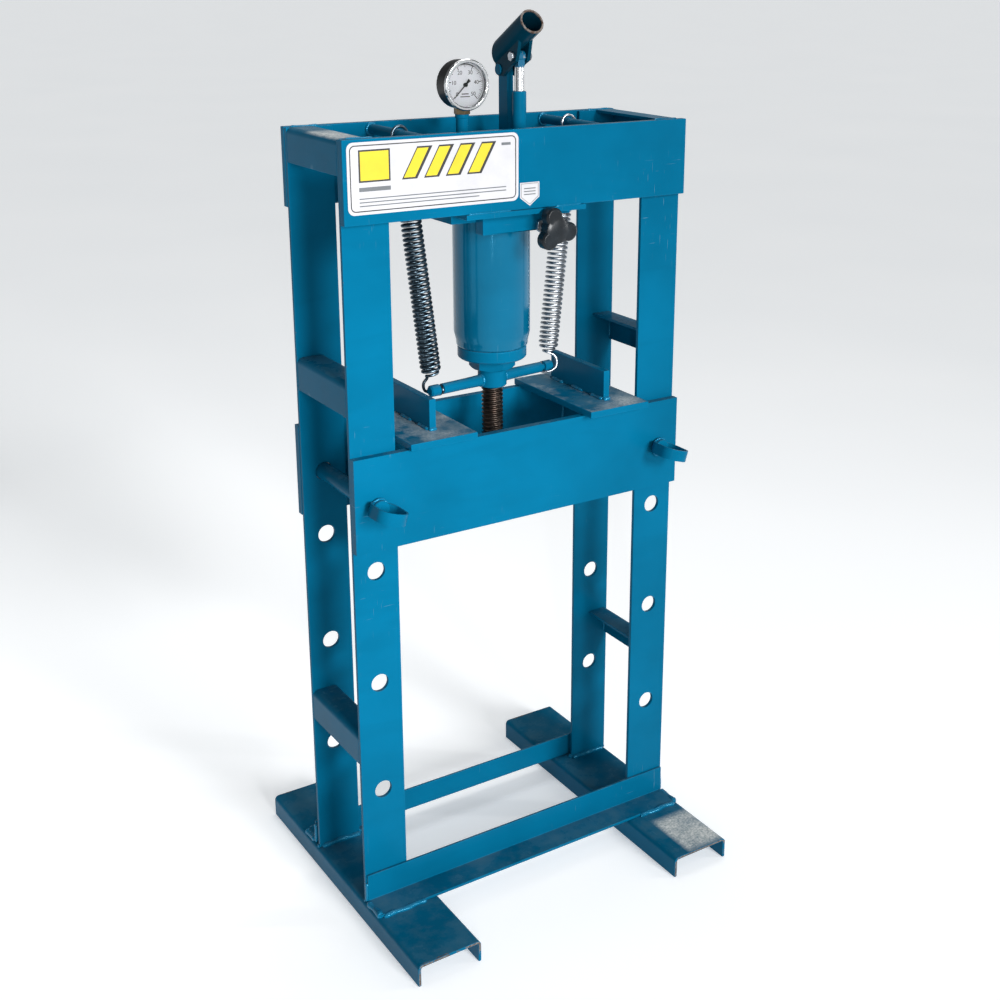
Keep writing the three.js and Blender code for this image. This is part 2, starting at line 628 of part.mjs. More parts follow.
function fulcrum() {
  const { x } = PUMP;
  const half = [POST.width / 2, POST.depth / 2];
  const width = [x - half[0], x + half[0]];
  const upright = block(width, [FULCRUM.y - half[1], FULCRUM.y + half[1]], [ON_MOUNT, FULCRUM.z]);
  const round = bar('x', half[1], [FULCRUM.y, FULCRUM.z], width, 32);
  const at = [FULCRUM.y, FULCRUM.z];
  const hole = bar('x', FULCRUM.radius + GAP, at, [x - 20, x + 20], 16);
  add(pumpGroup, 'fulcrum_post', cut(join(upright, round), hole), bluePaint);
  const { halfLength, head, headThickness } = FULCRUM;
  const shank = bar('x', FULCRUM.radius, at, [x - halfLength, x + halfLength], 16);
  const disc = (from, to) => bar('x', head, at, [x + from, x + to], 24);
  const out = LEVER.cheekOut;
  const ends = [disc(-out - GAP - headThickness, -out - GAP), disc(out + GAP, out + GAP + headThickness)];
  const pin = join(shank, ...ends);
  add(pumpGroup, 'fulcrum_pin', pin, bluePaint);
}

/** A tube socket for the pump handle, welded over two cheeks that straddle post and plunger. */
function lever() {
  const { x } = PUMP;
  const tilt = (LEVER_TILT * Math.PI) / 180;
  const along = new THREE.Vector2(Math.cos(tilt), -Math.sin(tilt));      // from the mouth down the tube
  const mouth = new THREE.Vector2(LEVER_MOUTH.y, LEVER_MOUTH.z);
  const socketAt = (radius, from, to) => {
    const g = new THREE.CylinderGeometry(radius, radius, to - from, 32);
    g.rotateX(Math.atan2(along.y, along.x));
    const middle = mouth.clone().addScaledVector(along, (from + to) / 2);
    return g.translate(x, middle.x, middle.y);
  };
  const tube = socketAt(LEVER.socket, 0, LEVER_LENGTH);
  const bore = socketAt(LEVER.bore, -1, LEVER.boreDepth);
  const behind = block([x - 60, x + 60], [LEVER.rear, 200], [1300, 1500]);

  const axisZ = (y) => mouth.y + (mouth.x - y) * Math.tan(tilt);
  const plate = polygon([
    [LEVER.rear, FULCRUM.z - 2], [LEVER.rear, axisZ(LEVER.rear)], [-30, axisZ(-30)],
    [-30, axisZ(-30) - 14], [-24, PLUNGER_PIN.z + 4], [-20, PLUNGER_PIN.z - 7],
    [-8, PLUNGER_PIN.z - 13], [18, FULCRUM.z - 10],
  ]);
  const cheek = (from, to) => join(
    prism(plate, 'x', [x + from, x + to]),
    bar('x', LEVER.rear - FULCRUM.y, [FULCRUM.y, FULCRUM.z], [x + from, x + to], 32),
  );
  const cheeks = [cheek(-LEVER.cheekOut, -LEVER.cheekIn), cheek(LEVER.cheekIn, LEVER.cheekOut)];
  const inside = [x - LEVER.cheekIn, x + LEVER.cheekIn];
  const wide = [x - 25, x + 25];
  const postRoom = bar('x', POST.depth / 2 + 2, [FULCRUM.y, FULCRUM.z], inside);
  const pinHole = bar('x', FULCRUM.radius + GAP, [FULCRUM.y, FULCRUM.z], wide, 16);
  const pinHeads = [[x - 25, x - LEVER.cheekOut], [x + LEVER.cheekOut, x + 25]].map(
    (span) => bar('x', FULCRUM.head + 1, [FULCRUM.y, FULCRUM.z], span, 24),
  );

  // The plunger's bolt slides in a slot, because it travels straight and the lever swings.
  const reach = new THREE.Vector2(PUMP.y - FULCRUM.y, PLUNGER_PIN.z - FULCRUM.z);
  const slotRadius = PLUNGER_PIN.radius + LEVER.slotPlay;
  const unit = reach.clone().normalize();
  const slotEnds = [reach.length() - 6.2, reach.length() + 0.3].map((d) => unit.clone().multiplyScalar(d));
  const slotAt = slotEnds.map((p) => [FULCRUM.y + p.x, FULCRUM.z + p.y]);
  const side = new THREE.Vector2(-unit.y, unit.x).multiplyScalar(slotRadius);
  const eyeRoom = slotAt.map((at) => bar('x', PLUNGER_PIN.eye + 2, at, inside, 24));
  const slotMiddle = polygon([
    [slotAt[0][0] + side.x, slotAt[0][1] + side.y], [slotAt[1][0] + side.x, slotAt[1][1] + side.y],
    [slotAt[1][0] - side.x, slotAt[1][1] - side.y], [slotAt[0][0] - side.x, slotAt[0][1] - side.y],
  ]);
  const slot = [
    bar('x', slotRadius, slotAt[0], wide, 16),
    bar('x', slotRadius, slotAt[1], wide, 16),
    prism(slotMiddle, 'x', wide),
  ];
  return cut(join(tube, ...cheeks), bore, behind, postRoom, ...eyeRoom, pinHole, ...pinHeads, ...slot);
}

function buildPump() {
  plunger();
  fulcrum();
  add(pumpGroup, 'pump_lever', lever(), darkPaint);
}

// ---------------------------------------------------------------- bed, pins and press plates

function bedPlate(front) {
  const y = front ? -PLATE_Y - BED_PLATE : PLATE_Y;
  const span = [y, y + BED_PLATE];
  const half = HALF_WIDTH + HEAD_OVERHANG;
  const body = block([-half, half], span, [BED_BOTTOM, BED_TOP]);
  const through = [span[0] - 1, span[1] + 1];
  const hole = (x) => bar('y', PIN_HOLE_DIAMETER / 2, [x * LEG_MID_X, PIN_HEIGHT], through);
  return cut(body, hole(-1), hole(1));
}

/** A round pin with a ring of flat strap welded over its front end to pull it by. */
function bedPin(x) {
  const r = PIN_DIAMETER / 2;
  const rod = turned([
    [0, PIN_FRONT_Y], [r - 1, PIN_FRONT_Y], [r, PIN_FRONT_Y + 1], [r, PIN_REAR_Y - 3],
    [r - 3, PIN_REAR_Y], [0, PIN_REAR_Y],
  ], 'y', [x, PIN_HEIGHT], 24);
  const { width, strap, height, back, front } = HANDLE;
  const half = width / 2;
  const corner = half - 4;
  const outline = roundedRectangle([x - half, x + half], [front, back], corner);
  const inside = [[x - half + strap, x + half - strap], [front + strap, back - strap]];
  const opening = roundedRectangle(...inside, corner - strap);
  const span = [PIN_HEIGHT - height / 2, PIN_HEIGHT + height / 2];
  const ring = cut(prism(outline, 'z', span, 7), prism(opening, 'z', [span[0] - 1, span[1] + 1], 7));
  ring.translate(-x, 0, -PIN_HEIGHT);
  ring.rotateY((HANDLE.tilt * Math.PI) / 180);
  ring.translate(x, 0, PIN_HEIGHT);
  return join(rod, ring);
}

/** A flat base with a rib welded upright along its middle, like a T upside down. */
function pressPlate(side) {
  const { x, y } = PRESS_PLATES[side];
  const z = BED_TOP + GAP;
  const top = z + PRESS_PLATE_THICKNESS;
  const around = (middle, length) => [middle - length / 2, middle + length / 2];
  const base = block(around(x, PRESS_PLATE_WIDTH), around(y, PRESS_PLATE_LENGTH), [z, top]);
  add(bedGroup, `press_plate_base_${side}`, base, bluePaint);
  const ribAt = [x + PRESS_RIB_OFFSET.x, y + PRESS_RIB_OFFSET.y];
  const ribZ = [top + GAP, top + GAP + PRESS_RIB_HEIGHT];
  const rib = block(around(ribAt[0], PRESS_RIB), around(ribAt[1], PRESS_RIB_LENGTH), ribZ);
  add(bedGroup, `press_plate_rib_${side}`, rib, bluePaint);
}

function buildBed() {
  add(bedGroup, 'bed_plate_front', bedPlate(true), bluePaint);
  add(bedGroup, 'bed_plate_rear', bedPlate(false), bluePaint);
  for (const side of ['left', 'right']) {
    const x = SIDES[side];
    const spacer = block([x * BED_SPACER_X - 6, x * BED_SPACER_X + 6], [-HALF_DEPTH, HALF_DEPTH],
      [BED_BOTTOM + 15, BED_TOP - 15]);
    add(bedGroup, `bed_spacer_${side}`, spacer, bluePaint);
    add(bedGroup, `bed_pin_${side}`, bedPin(x * LEG_MID_X), bluePaint);
    pressPlate(side);
  }
}

buildFrame();
buildRam();
buildScrew();
buildValve();
buildGauge();
buildPump();
buildBed();

export default press;
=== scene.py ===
"""Looks of the hydraulic shop press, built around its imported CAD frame. Metres, +Z up, front faces -Y."""

import json
import math
import random

import bmesh
import bpy
from mathutils import Matrix, Vector

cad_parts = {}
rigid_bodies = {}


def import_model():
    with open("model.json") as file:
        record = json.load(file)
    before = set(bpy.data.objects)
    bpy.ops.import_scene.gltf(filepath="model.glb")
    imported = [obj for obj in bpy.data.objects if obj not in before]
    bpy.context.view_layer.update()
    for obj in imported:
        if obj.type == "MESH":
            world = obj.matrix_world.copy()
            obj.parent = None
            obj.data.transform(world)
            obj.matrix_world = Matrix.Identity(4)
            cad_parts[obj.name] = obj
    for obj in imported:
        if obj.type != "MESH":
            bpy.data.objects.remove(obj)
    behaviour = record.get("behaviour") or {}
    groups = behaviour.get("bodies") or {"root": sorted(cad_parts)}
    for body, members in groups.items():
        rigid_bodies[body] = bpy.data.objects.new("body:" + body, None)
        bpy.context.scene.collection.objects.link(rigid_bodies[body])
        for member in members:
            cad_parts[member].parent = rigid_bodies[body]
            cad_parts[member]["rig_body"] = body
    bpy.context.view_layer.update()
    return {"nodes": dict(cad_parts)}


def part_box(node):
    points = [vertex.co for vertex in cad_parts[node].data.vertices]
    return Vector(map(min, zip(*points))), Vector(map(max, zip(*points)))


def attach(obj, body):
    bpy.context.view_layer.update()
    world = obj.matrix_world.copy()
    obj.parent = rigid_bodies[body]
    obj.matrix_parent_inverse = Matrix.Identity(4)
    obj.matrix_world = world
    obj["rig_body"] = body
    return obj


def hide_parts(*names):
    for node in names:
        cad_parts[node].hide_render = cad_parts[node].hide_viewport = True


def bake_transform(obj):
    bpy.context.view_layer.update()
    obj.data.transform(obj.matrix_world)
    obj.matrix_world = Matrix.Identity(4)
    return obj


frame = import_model()
NODES = frame["nodes"]
UP = Vector((0, 0, 1))


# ---------------------------------------------------------------- camera, light and floor

LENS = 50.87                     # mm, on a 36 mm sensor
LENS_SHIFT = (-0.066, -0.106)
CAMERA_AT = (-1.158, -1.925, 1.522)
PITCH_YAW_ROLL = (16.82, 34.15, 0.53)
SKY_LOW, SKY_HIGH = 0.55, 0.15   # the sky's strength at the horizon, and from 20 degrees above it


def camera_and_light():
    """The photo's camera, the sky, five lamps and a pale floor."""
    scene = bpy.context.scene
    scene.view_settings.view_transform = "Standard"
    data = bpy.data.cameras.new("camera")
    data.sensor_width = 36
    data.lens = LENS
    data.shift_x, data.shift_y = LENS_SHIFT
    data.clip_end = 500
    camera = bpy.data.objects.new("camera", data)
    camera.location = CAMERA_AT
    pitch, yaw, roll = (math.radians(a) for a in PITCH_YAW_ROLL)
    turn = Matrix.Rotation(-yaw, 4, "Z") @ Matrix.Rotation(math.pi / 2 - pitch, 4, "X")
    turn = turn @ Matrix.Rotation(roll, 4, "Z")
    camera.rotation_euler = turn.to_euler()
    scene.collection.objects.link(camera)
    scene.camera = camera

    world = bpy.data.worlds.new("studio")
    world.use_nodes = True
    background = world.node_tree.nodes["Background"]
    background.inputs["Color"].default_value = (0.93, 0.97, 1.0, 1)
    nodes, links = world.node_tree.nodes, world.node_tree.links
    direction = nodes.new("ShaderNodeSeparateXYZ")
    links.new(nodes.new("ShaderNodeTexCoord").outputs["Generated"], direction.inputs[0])
    falling = nodes.new("ShaderNodeMapRange")
    links.new(direction.outputs["Z"], falling.inputs["Value"])
    falling.inputs["From Min"].default_value = 0.02
    falling.inputs["From Max"].default_value = 0.35
    falling.inputs["To Min"].default_value = SKY_LOW
    falling.inputs["To Max"].default_value = SKY_HIGH
    links.new(falling.outputs["Result"], background.inputs["Strength"])
    scene.world = world

    def lamp(name, kind, energy, at, aim, **settings):
        light = bpy.data.lights.new(name, kind)
        light.energy = energy
        for key, value in settings.items():
            setattr(light, key, value)
        obj = bpy.data.objects.new(name, light)
        obj.location = at
        obj.rotation_euler = (Vector(aim) - Vector(at)).to_track_quat("-Z", "Y").to_euler()
        scene.collection.objects.link(obj)

    lamp("key_sun", "SUN", 2.6, (0.7, -5, 2.6), (0, 0, 0.7), angle=math.radians(16))
    lamp("front_spot", "SPOT", 900, (-0.6, -4.5, 1.5), (-0.40, 0, 0.80),
         spot_size=math.radians(28), spot_blend=1.0, shadow_soft_size=0.5)
    lamp("left_strip", "AREA", 20, (-1.5, -2.8, 1.4), (0, 0, 1.0), shape="RECTANGLE", size=0.06, size_y=1.6)
    lamp("top_box", "AREA", 26, (0.4, 0.6, 3.2), (0, 0, 0.8), shape="RECTANGLE", size=1.6, size_y=1.2)
    lamp("right_strip", "AREA", 10, (1.9, -1.3, 1.6), (0, 0, 1.0), shape="RECTANGLE", size=0.07, size_y=1.6)

    bpy.ops.mesh.primitive_grid_add(x_subdivisions=2, y_subdivisions=2, size=400, location=(0, 0, -0.0005))
    floor = bpy.context.object
    floor.name = "floor"
    surface = Material("floor_pale")
    tone = surface.noise(0.8, detail=2)
    tone = surface.ramp(tone, [(0.3, (0.84, 0.85, 0.86)), (0.7, (0.88, 0.885, 0.89))])
    surface.finish(tone, roughness=0.85, Emission_Color=(0.95, 0.98, 1.0, 1), Emission_Strength=0.36,
                   Specular_IOR_Level=0.1)
    floor.data.materials.append(surface.material)


# ---------------------------------------------------------------- materials

class Material:
    """A small builder for procedural materials in each piece's own rest coordinates."""

    def __init__(self, name):
        self.material = bpy.data.materials.new(name)
        self.material.use_nodes = True
        self.tree = self.material.node_tree
        self.tree.nodes.clear()
        self.coordinates = self.node("ShaderNodeTexCoord").outputs["Object"]

    def node(self, kind, **settings):
        made = self.tree.nodes.new(kind)
        for key, value in settings.items():
            setattr(made, key, value)
        return made

    def link(self, value, socket):
        if isinstance(value, bpy.types.NodeSocket):
            self.tree.links.new(value, socket)
        elif socket.type == "RGBA":
            socket.default_value = (*value, 1)
        else:
            socket.default_value = value

    def stretched(self, scale, turn=(0, 0, 0)):
        mapping = self.node("ShaderNodeMapping")
        self.link(self.coordinates, mapping.inputs["Vector"])
        mapping.inputs["Scale"].default_value = scale
        mapping.inputs["Rotation"].default_value = turn
        return mapping.outputs["Vector"]

    def noise(self, scale, detail=2.0, vector=None, roughness=0.5, distortion=0.0):
        noise = self.node("ShaderNodeTexNoise")
        self.link(vector or self.coordinates, noise.inputs["Vector"])
        noise.inputs["Scale"].default_value = scale
        noise.inputs["Detail"].default_value = detail
        noise.inputs["Roughness"].default_value = roughness
        noise.inputs["Distortion"].default_value = distortion
        return noise.outputs["Fac"]

    def ramp(self, value, stops):
        ramp = self.node("ShaderNodeValToRGB")
        self.link(value, ramp.inputs["Fac"])
        elements = ramp.color_ramp.elements
        while len(elements) < len(stops):
            elements.new(0.5)
        for element, (at, colour) in zip(elements, stops):
            element.position = at
            element.color = (*colour, 1) if isinstance(colour, tuple) else (colour, colour, colour, 1)
        return ramp.outputs["Color"]

    def step(self, value, low, high):
        """0 at low and 1 at high, and level beyond them. high may be the smaller, to fall instead."""
        found = self.node("ShaderNodeMapRange")
        self.link(value, found.inputs["Value"])
        found.inputs["From Min"].default_value = low
        found.inputs["From Max"].default_value = high
        return found.outputs["Result"]

    def math(self, operation, a, b=0.0):
        found = self.node("ShaderNodeMath", operation=operation)
        self.link(a, found.inputs[0])
        self.link(b, found.inputs[1])
        return found.outputs[0]

    def mix(self, factor, a, b):
        found = self.node("ShaderNodeMix", data_type="RGBA")
        self.link(factor, found.inputs["Factor"])
        self.link(a, found.inputs[6])
        self.link(b, found.inputs[7])
        return found.outputs[2]

    def axis(self, which):
        split = self.node("ShaderNodeSeparateXYZ")
        self.link(self.coordinates, split.inputs[0])
        return split.outputs[which]

    def up(self):
        """How far a face looks up, from 0 to 1."""
        split = self.node("ShaderNodeSeparateXYZ")
        self.link(self.node("ShaderNodeNewGeometry").outputs["Normal"], split.inputs[0])
        return self.step(split.outputs["Z"], 0.6, 0.95)

    def bump(self, height, strength, distance=0.001, normal=None):
        bump = self.node("ShaderNodeBump")
        self.link(height, bump.inputs["Height"])
        bump.inputs["Strength"].default_value = strength
        bump.inputs["Distance"].default_value = distance
        if normal is not None:
            self.link(normal, bump.inputs["Normal"])
        return bump.outputs["Normal"]

    def finish(self, colour, roughness=0.5, metallic=0.0, normal=None, **constants):
        shader = self.node("ShaderNodeBsdfPrincipled")
        self.link(colour, shader.inputs["Base Color"])
        self.link(roughness, shader.inputs["Roughness"])
        self.link(metallic, shader.inputs["Metallic"])
        if normal is not None:
            self.link(normal, shader.inputs["Normal"])
        for key, value in constants.items():
            shader.inputs[key.replace("_", " ")].default_value = value
        output = self.node("ShaderNodeOutputMaterial")
        self.tree.links.new(shader.outputs[0], output.inputs[0])
        return self.material


def scaled(colour, factor):
    return tuple(min(1, c * factor) for c in colour)


PAINT = (0.0008, 0.094, 0.182)
DEEP_PAINT = (0.0008, 0.030, 0.054)
FOOT_BARE_FROM = 0.2880          # distance from the middle, plus the noise that makes the edge ragged
LEVER_RIM = (-0.866, 0.5, 0.7617)   # the way the lever's mouth faces in (y, z), and its distance that way
PLUNGER_CHROME_TOP = 1.371       # the plunger's rod is chrome, and its eye is painted


def enamel(name, colour=PAINT, chipped=0.0, bare_ends=False, dusty=0.35, rubbed=None, cover=0.5,
           gloss=0.05, rim=None, polish=0.15):
    """Enamel over steel, with orange peel, scratches, chips, and dust on what faces up.

    bare_ends takes the paint off the two ends of a foot. rubbed is a range in x and a range in y where top
    faces are painted pale, and cover says how much of it: worn paint on the press plates, a painted
    reflection on the head angle, a pale patch on the right foot. rim is (y, z, distance): from about that
    distance along that direction the paint is gone. gloss is the specular level and polish the lowest
    roughness.
    """
    m = Material(name)
    cloud = m.noise(7, detail=3)
    tone = m.ramp(cloud, [(0.25, scaled(colour, 0.82)), (0.55, colour), (0.8, scaled(colour, 1.12))])
    smear = m.noise(3, detail=4, vector=m.stretched((2, 2, 9), (0.2, 0.3, 0)), distortion=0.6)
    tone = m.mix(m.math("MULTIPLY", m.step(smear, 0.5, 0.8), 0.35), tone, scaled(colour, 0.72))

    dirt = m.math("MULTIPLY", m.up(), m.step(m.noise(16, detail=5, roughness=0.65), 0.38, 0.72))
    dirt = m.math("MULTIPLY", dirt, dusty)
    tone = m.mix(dirt, tone, (0.12, 0.20, 0.23))

    lines = m.noise(1, detail=1, vector=m.stretched((700, 22, 30), (0.5, 0.9, 0.35)))
    lines_b = m.noise(1, detail=1, vector=m.stretched((26, 24, 800), (0.4, -0.5, 0.1)))
    patch = m.step(m.noise(5, detail=2), 0.55, 0.68)
    scratch = m.math("MAXIMUM", m.step(lines, 0.73, 0.78), m.step(lines_b, 0.75, 0.8))
    scratch = m.math("MULTIPLY", scratch, patch)
    tone = m.mix(m.math("MULTIPLY", scratch, 0.5), tone, (0.14, 0.26, 0.33))

    speck = m.noise(150, detail=5, roughness=0.7)
    spread = m.noise(9, detail=2)
    threshold = m.math("ADD", m.math("MULTIPLY", spread, 0.35), speck)
    chips = m.step(threshold, 0.985 - chipped, 1.0 - chipped)
    if bare_ends:
        ragged = m.math("MULTIPLY", m.noise(45, detail=5), 0.016)
        reach = m.math("ADD", m.math("ABSOLUTE", m.axis("Y")), ragged)
        chips = m.math("MAXIMUM", chips, m.step(reach, FOOT_BARE_FROM, FOOT_BARE_FROM + 0.0008))
    if rim:
        across_y, across_z, at = rim
        along = m.math("ADD", m.math("MULTIPLY", m.axis("Y"), across_y),
                       m.math("MULTIPLY", m.axis("Z"), across_z))
        along = m.math("ADD", along, m.math("MULTIPLY", m.noise(90, detail=4), 0.006))
        chips = m.math("MAXIMUM", chips, m.step(along, at + 0.0008, at + 0.0013))
    rust = m.ramp(m.noise(260, detail=4), [(0.35, (0.085, 0.05, 0.035)), (0.6, (0.20, 0.18, 0.165))])
    tone = m.mix(chips, tone, rust)
    # Top faces in the rubbed ranges turn pale: worn paint on the press plates, a painted reflection on the
    # head angle.
    if rubbed:
        (x0, x1), (y0, y1) = rubbed
        reach_x = m.math("MULTIPLY", m.step(m.axis("X"), x0, x0 + 0.01), m.step(m.axis("X"), x1, x1 - 0.01))
        reach_y = m.math("MULTIPLY", m.step(m.axis("Y"), y0, y0 + 0.02), m.step(m.axis("Y"), y1, y1 - 0.02))
        inside = m.math("MULTIPLY", m.math("MULTIPLY", reach_x, reach_y), m.up())
        cloudy = m.noise(11, detail=6, roughness=0.62)
        bare = m.math("MULTIPLY", inside, m.step(cloudy, 0.52 - cover * 0.22, 0.86 - cover * 0.22))
        pale = m.ramp(m.noise(300, detail=3), [(0.35, (0.32, 0.37, 0.38)), (0.65, (0.68, 0.69, 0.67))])
        tone = m.mix(bare, tone, pale)

    peel = m.noise(230, detail=1)
    normal = m.bump(peel, 0.10, 0.0004)
    wave = m.noise(28, detail=2)
    normal = m.bump(wave, 0.12, 0.0015, normal)
    normal = m.bump(m.math("SUBTRACT", 1.0, m.math("MAXIMUM", chips, scratch)), 0.35, 0.0004, normal)
    rough = m.math("ADD", polish, m.math("MULTIPLY", m.noise(20, detail=4), 0.14))
    rough = m.math("ADD", rough, m.math("MULTIPLY", dirt, 0.5))
    rough = m.math("ADD", rough, m.math("MULTIPLY", chips, 0.35))
    return m.finish(tone, rough, m.math("MULTIPLY", chips, 0.5), normal,
                    Specular_IOR_Level=gloss, Specular_Tint=(0.2, 0.7, 1.0, 1))


def bare_metal(name, dark, light, roughness=0.35, metallic=1.0, grain=(500, 500, 30), rust=0.0):
    """Machined or plated metal with a fine grain, stains and handling marks."""
    m = Material(name)
    grain_noise = m.noise(1, detail=3, vector=m.stretched(grain))
    tone = m.ramp(m.noise(45, detail=4, roughness=0.6), [(0.3, dark), (0.7, light)])
    tone = m.mix(m.math("MULTIPLY", grain_noise, 0.3), tone, scaled(dark, 0.6))
    if rust:
        stain = m.math("MULTIPLY", m.step(m.noise(90, detail=5, roughness=0.7), 0.5, 0.66), rust)
        tone = m.mix(stain, tone, (0.09, 0.045, 0.03))
    rough = m.math("ADD", roughness - 0.08, m.math("MULTIPLY", m.noise(120, detail=3), 0.2))
    normal = m.bump(grain_noise, 0.12, 0.0004)
    return m.finish(tone, rough, metallic, normal)


def moulded(name, dark, light, roughness=0.45):
    """Moulded plastic or rubber with a fine texture and rubbed places."""
    m = Material(name)
    tone = m.ramp(m.noise(60, detail=4), [(0.35, dark), (0.75, light)])
    rough = m.math("ADD", roughness - 0.1, m.math("MULTIPLY", m.noise(35, detail=3), 0.25))
    normal = m.bump(m.noise(900, detail=2), 0.2, 0.0003)
    return m.finish(tone, rough, 0.0, normal, Specular_IOR_Level=0.3)


def printed(name, colour, roughness=0.35, stain=0.12):
    """Printed film or a printed dial: nearly even, with faint stains."""
    m = Material(name)
    tone = m.ramp(m.noise(30, detail=5, roughness=0.6), [(0.3, scaled(colour, 1 - stain)), (0.7, colour)])
    normal = m.bump(m.noise(60, detail=2), 0.05, 0.0005)
    return m.finish(tone, m.math("ADD", roughness, m.math("MULTIPLY", m.noise(90), 0.1)), 0.0, normal)


def plunger_finish(name, split):
    """Chrome up to the given height, and enamel with bare spots above it."""
    m = Material(name)
    above = m.step(m.axis("Z"), split, split + 0.0006)
    wear = m.math("MULTIPLY", above, m.step(m.noise(180, detail=4, roughness=0.7), 0.66, 0.60))
    brushed = m.noise(1, detail=3, vector=m.stretched((300, 300, 20)))
    metal = m.ramp(brushed, [(0.3, (0.5, 0.51, 0.52)), (0.7, (0.78, 0.79, 0.8))])
    painted = m.ramp(m.noise(40, detail=3), [(0.3, scaled(PAINT, 0.7)), (0.7, PAINT)])
    rough = m.math("ADD", 0.16, m.math("MULTIPLY", m.noise(60, detail=3), 0.14))
    normal = m.bump(m.noise(250, detail=2), 0.15, 0.0004)
    return m.finish(m.mix(wear, metal, painted), rough, m.math("SUBTRACT", 1.0, wear), normal)


def clear_glass(name):
    """A thin clear pane that hardly bends light."""
    m = Material(name)
    tone = m.ramp(m.noise(25, detail=2), [(0.3, (0.97, 0.985, 0.98)), (0.7, (1.0, 1.0, 1.0))])
    rough = m.math("MULTIPLY", m.noise(70, detail=3), 0.05)
    return m.finish(tone, rough, 0.0, None, Transmission_Weight=1.0, IOR=1.05)


paint = enamel("blue_enamel")
# The rounded edges' enamel: the blue painted 15 % lighter, a painted highlight along every edge, with more
# chips.
paint_edge_highlit = enamel("blue_enamel_edge", colour=scaled(PAINT, 1.15), chipped=0.10)
foot_paint = enamel("blue_enamel_foot", chipped=0.03, bare_ends=True, dusty=0.3)
# The head angle's enamel: a pale cloudy patch on its top face is a painted reflection; chips and dust as
# well.
head_angle_paint_with_reflection = enamel("blue_enamel_painted_reflection", chipped=0.05, dusty=0.5, cover=1.2,
                          rubbed=((-0.31, -0.235), (-0.095, 0.03)))
# The right foot's enamel: a pale cloudy patch on the top of its front part, and bare ends.
right_foot_paint = enamel("blue_enamel_pale_top_patch", chipped=0.03, bare_ends=True, dusty=0.3, cover=1.3,
                          rubbed=((0.225, 0.33), (-0.285, -0.165)))
plate_paint = enamel("plate_enamel_worn", chipped=0.05, dusty=0.4, cover=0.42,
                     rubbed=((-0.3, 0.3), (-0.16, 0.16)))
deep_paint = enamel("deep_blue_enamel", colour=DEEP_PAINT, chipped=0.03, rim=LEVER_RIM)
# The barrel's enamel: the whole barrel painted 14 % darker, painted shade for its darker sides, and glossier.
cylinder_paint_shaded = enamel("cylinder_enamel_painted_shade", colour=scaled(PAINT, 0.86), gloss=0.8, polish=0.05)
deep_edge = enamel("deep_blue_enamel_edge", colour=DEEP_PAINT, chipped=0.13)
# The weld beads' enamel: the blue painted 20 % lighter, a painted highlight on the beads, and glossier.
bead_paint_highlit = enamel("weld_enamel_painted_highlight", colour=scaled(PAINT, 1.2), chipped=0.07, dusty=0.25, gloss=0.7)
oiled_steel = bare_metal("oiled_screw_steel", (0.026, 0.021, 0.018), (0.10, 0.078, 0.066), 0.34, rust=0.4)
machined = bare_metal("machined_steel", (0.28, 0.28, 0.29), (0.52, 0.52, 0.53), 0.3)
zinc = bare_metal("zinc_plate", (0.30, 0.33, 0.37), (0.62, 0.66, 0.70), 0.3, grain=(200, 200, 200))
blued = bare_metal("blued_wire", (0.03, 0.055, 0.075), (0.16, 0.22, 0.27), 0.3, grain=(200, 200, 200))
chrome = bare_metal("chrome_plate", (0.62, 0.63, 0.64), (0.80, 0.81, 0.82), 0.14, grain=(300, 300, 300))
old_brass = bare_metal("tarnished_brass", (0.10, 0.075, 0.045), (0.22, 0.17, 0.10), 0.42)
black_lacquer = moulded("black_lacquer", (0.006, 0.006, 0.007), (0.016, 0.017, 0.018), 0.3)
knob_plastic = moulded("knob_moulding", (0.004, 0.006, 0.008), (0.010, 0.014, 0.018), 0.26)
rubber = moulded("seal_rubber", (0.008, 0.008, 0.008), (0.02, 0.02, 0.02), 0.7)
white_film = printed("label_white", (0.42, 0.42, 0.44), 0.5)
white_dial = printed("dial_white", (0.74, 0.74, 0.78), 0.5, 0.04)
yellow_ink = printed("label_yellow", (0.50, 0.40, 0.01))
black_ink = printed("label_black", (0.012, 0.013, 0.014), 0.4, 0.3)
grey_ink = printed("label_grey", (0.10, 0.11, 0.12), 0.4, 0.2)
glass = clear_glass("gauge_glass")
plunger_metal = plunger_finish("plunger_chrome_and_paint", PLUNGER_CHROME_TOP)


# ---------------------------------------------------------------- pieces

def new_object(name, mesh, body, materials):
    for material in materials:
        mesh.materials.append(material)
    obj = bpy.data.objects.new(name, mesh)
    bpy.context.scene.collection.objects.link(obj)
    if body:
        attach(obj, body)
    return obj


def mesh_from(name, bm):
    bmesh.ops.recalc_face_normals(bm, faces=bm.faces)
    mesh = bpy.data.meshes.new(name)
    bm.to_mesh(mesh)
    bm.free()
    return mesh


def smooth(mesh, angle):
    for face in mesh.polygons:
        face.use_smooth = True
    mesh.set_sharp_from_angle(angle=math.radians(angle))


HARD_EDGE = 28                   # degrees between two faces; sharper edges are rounded


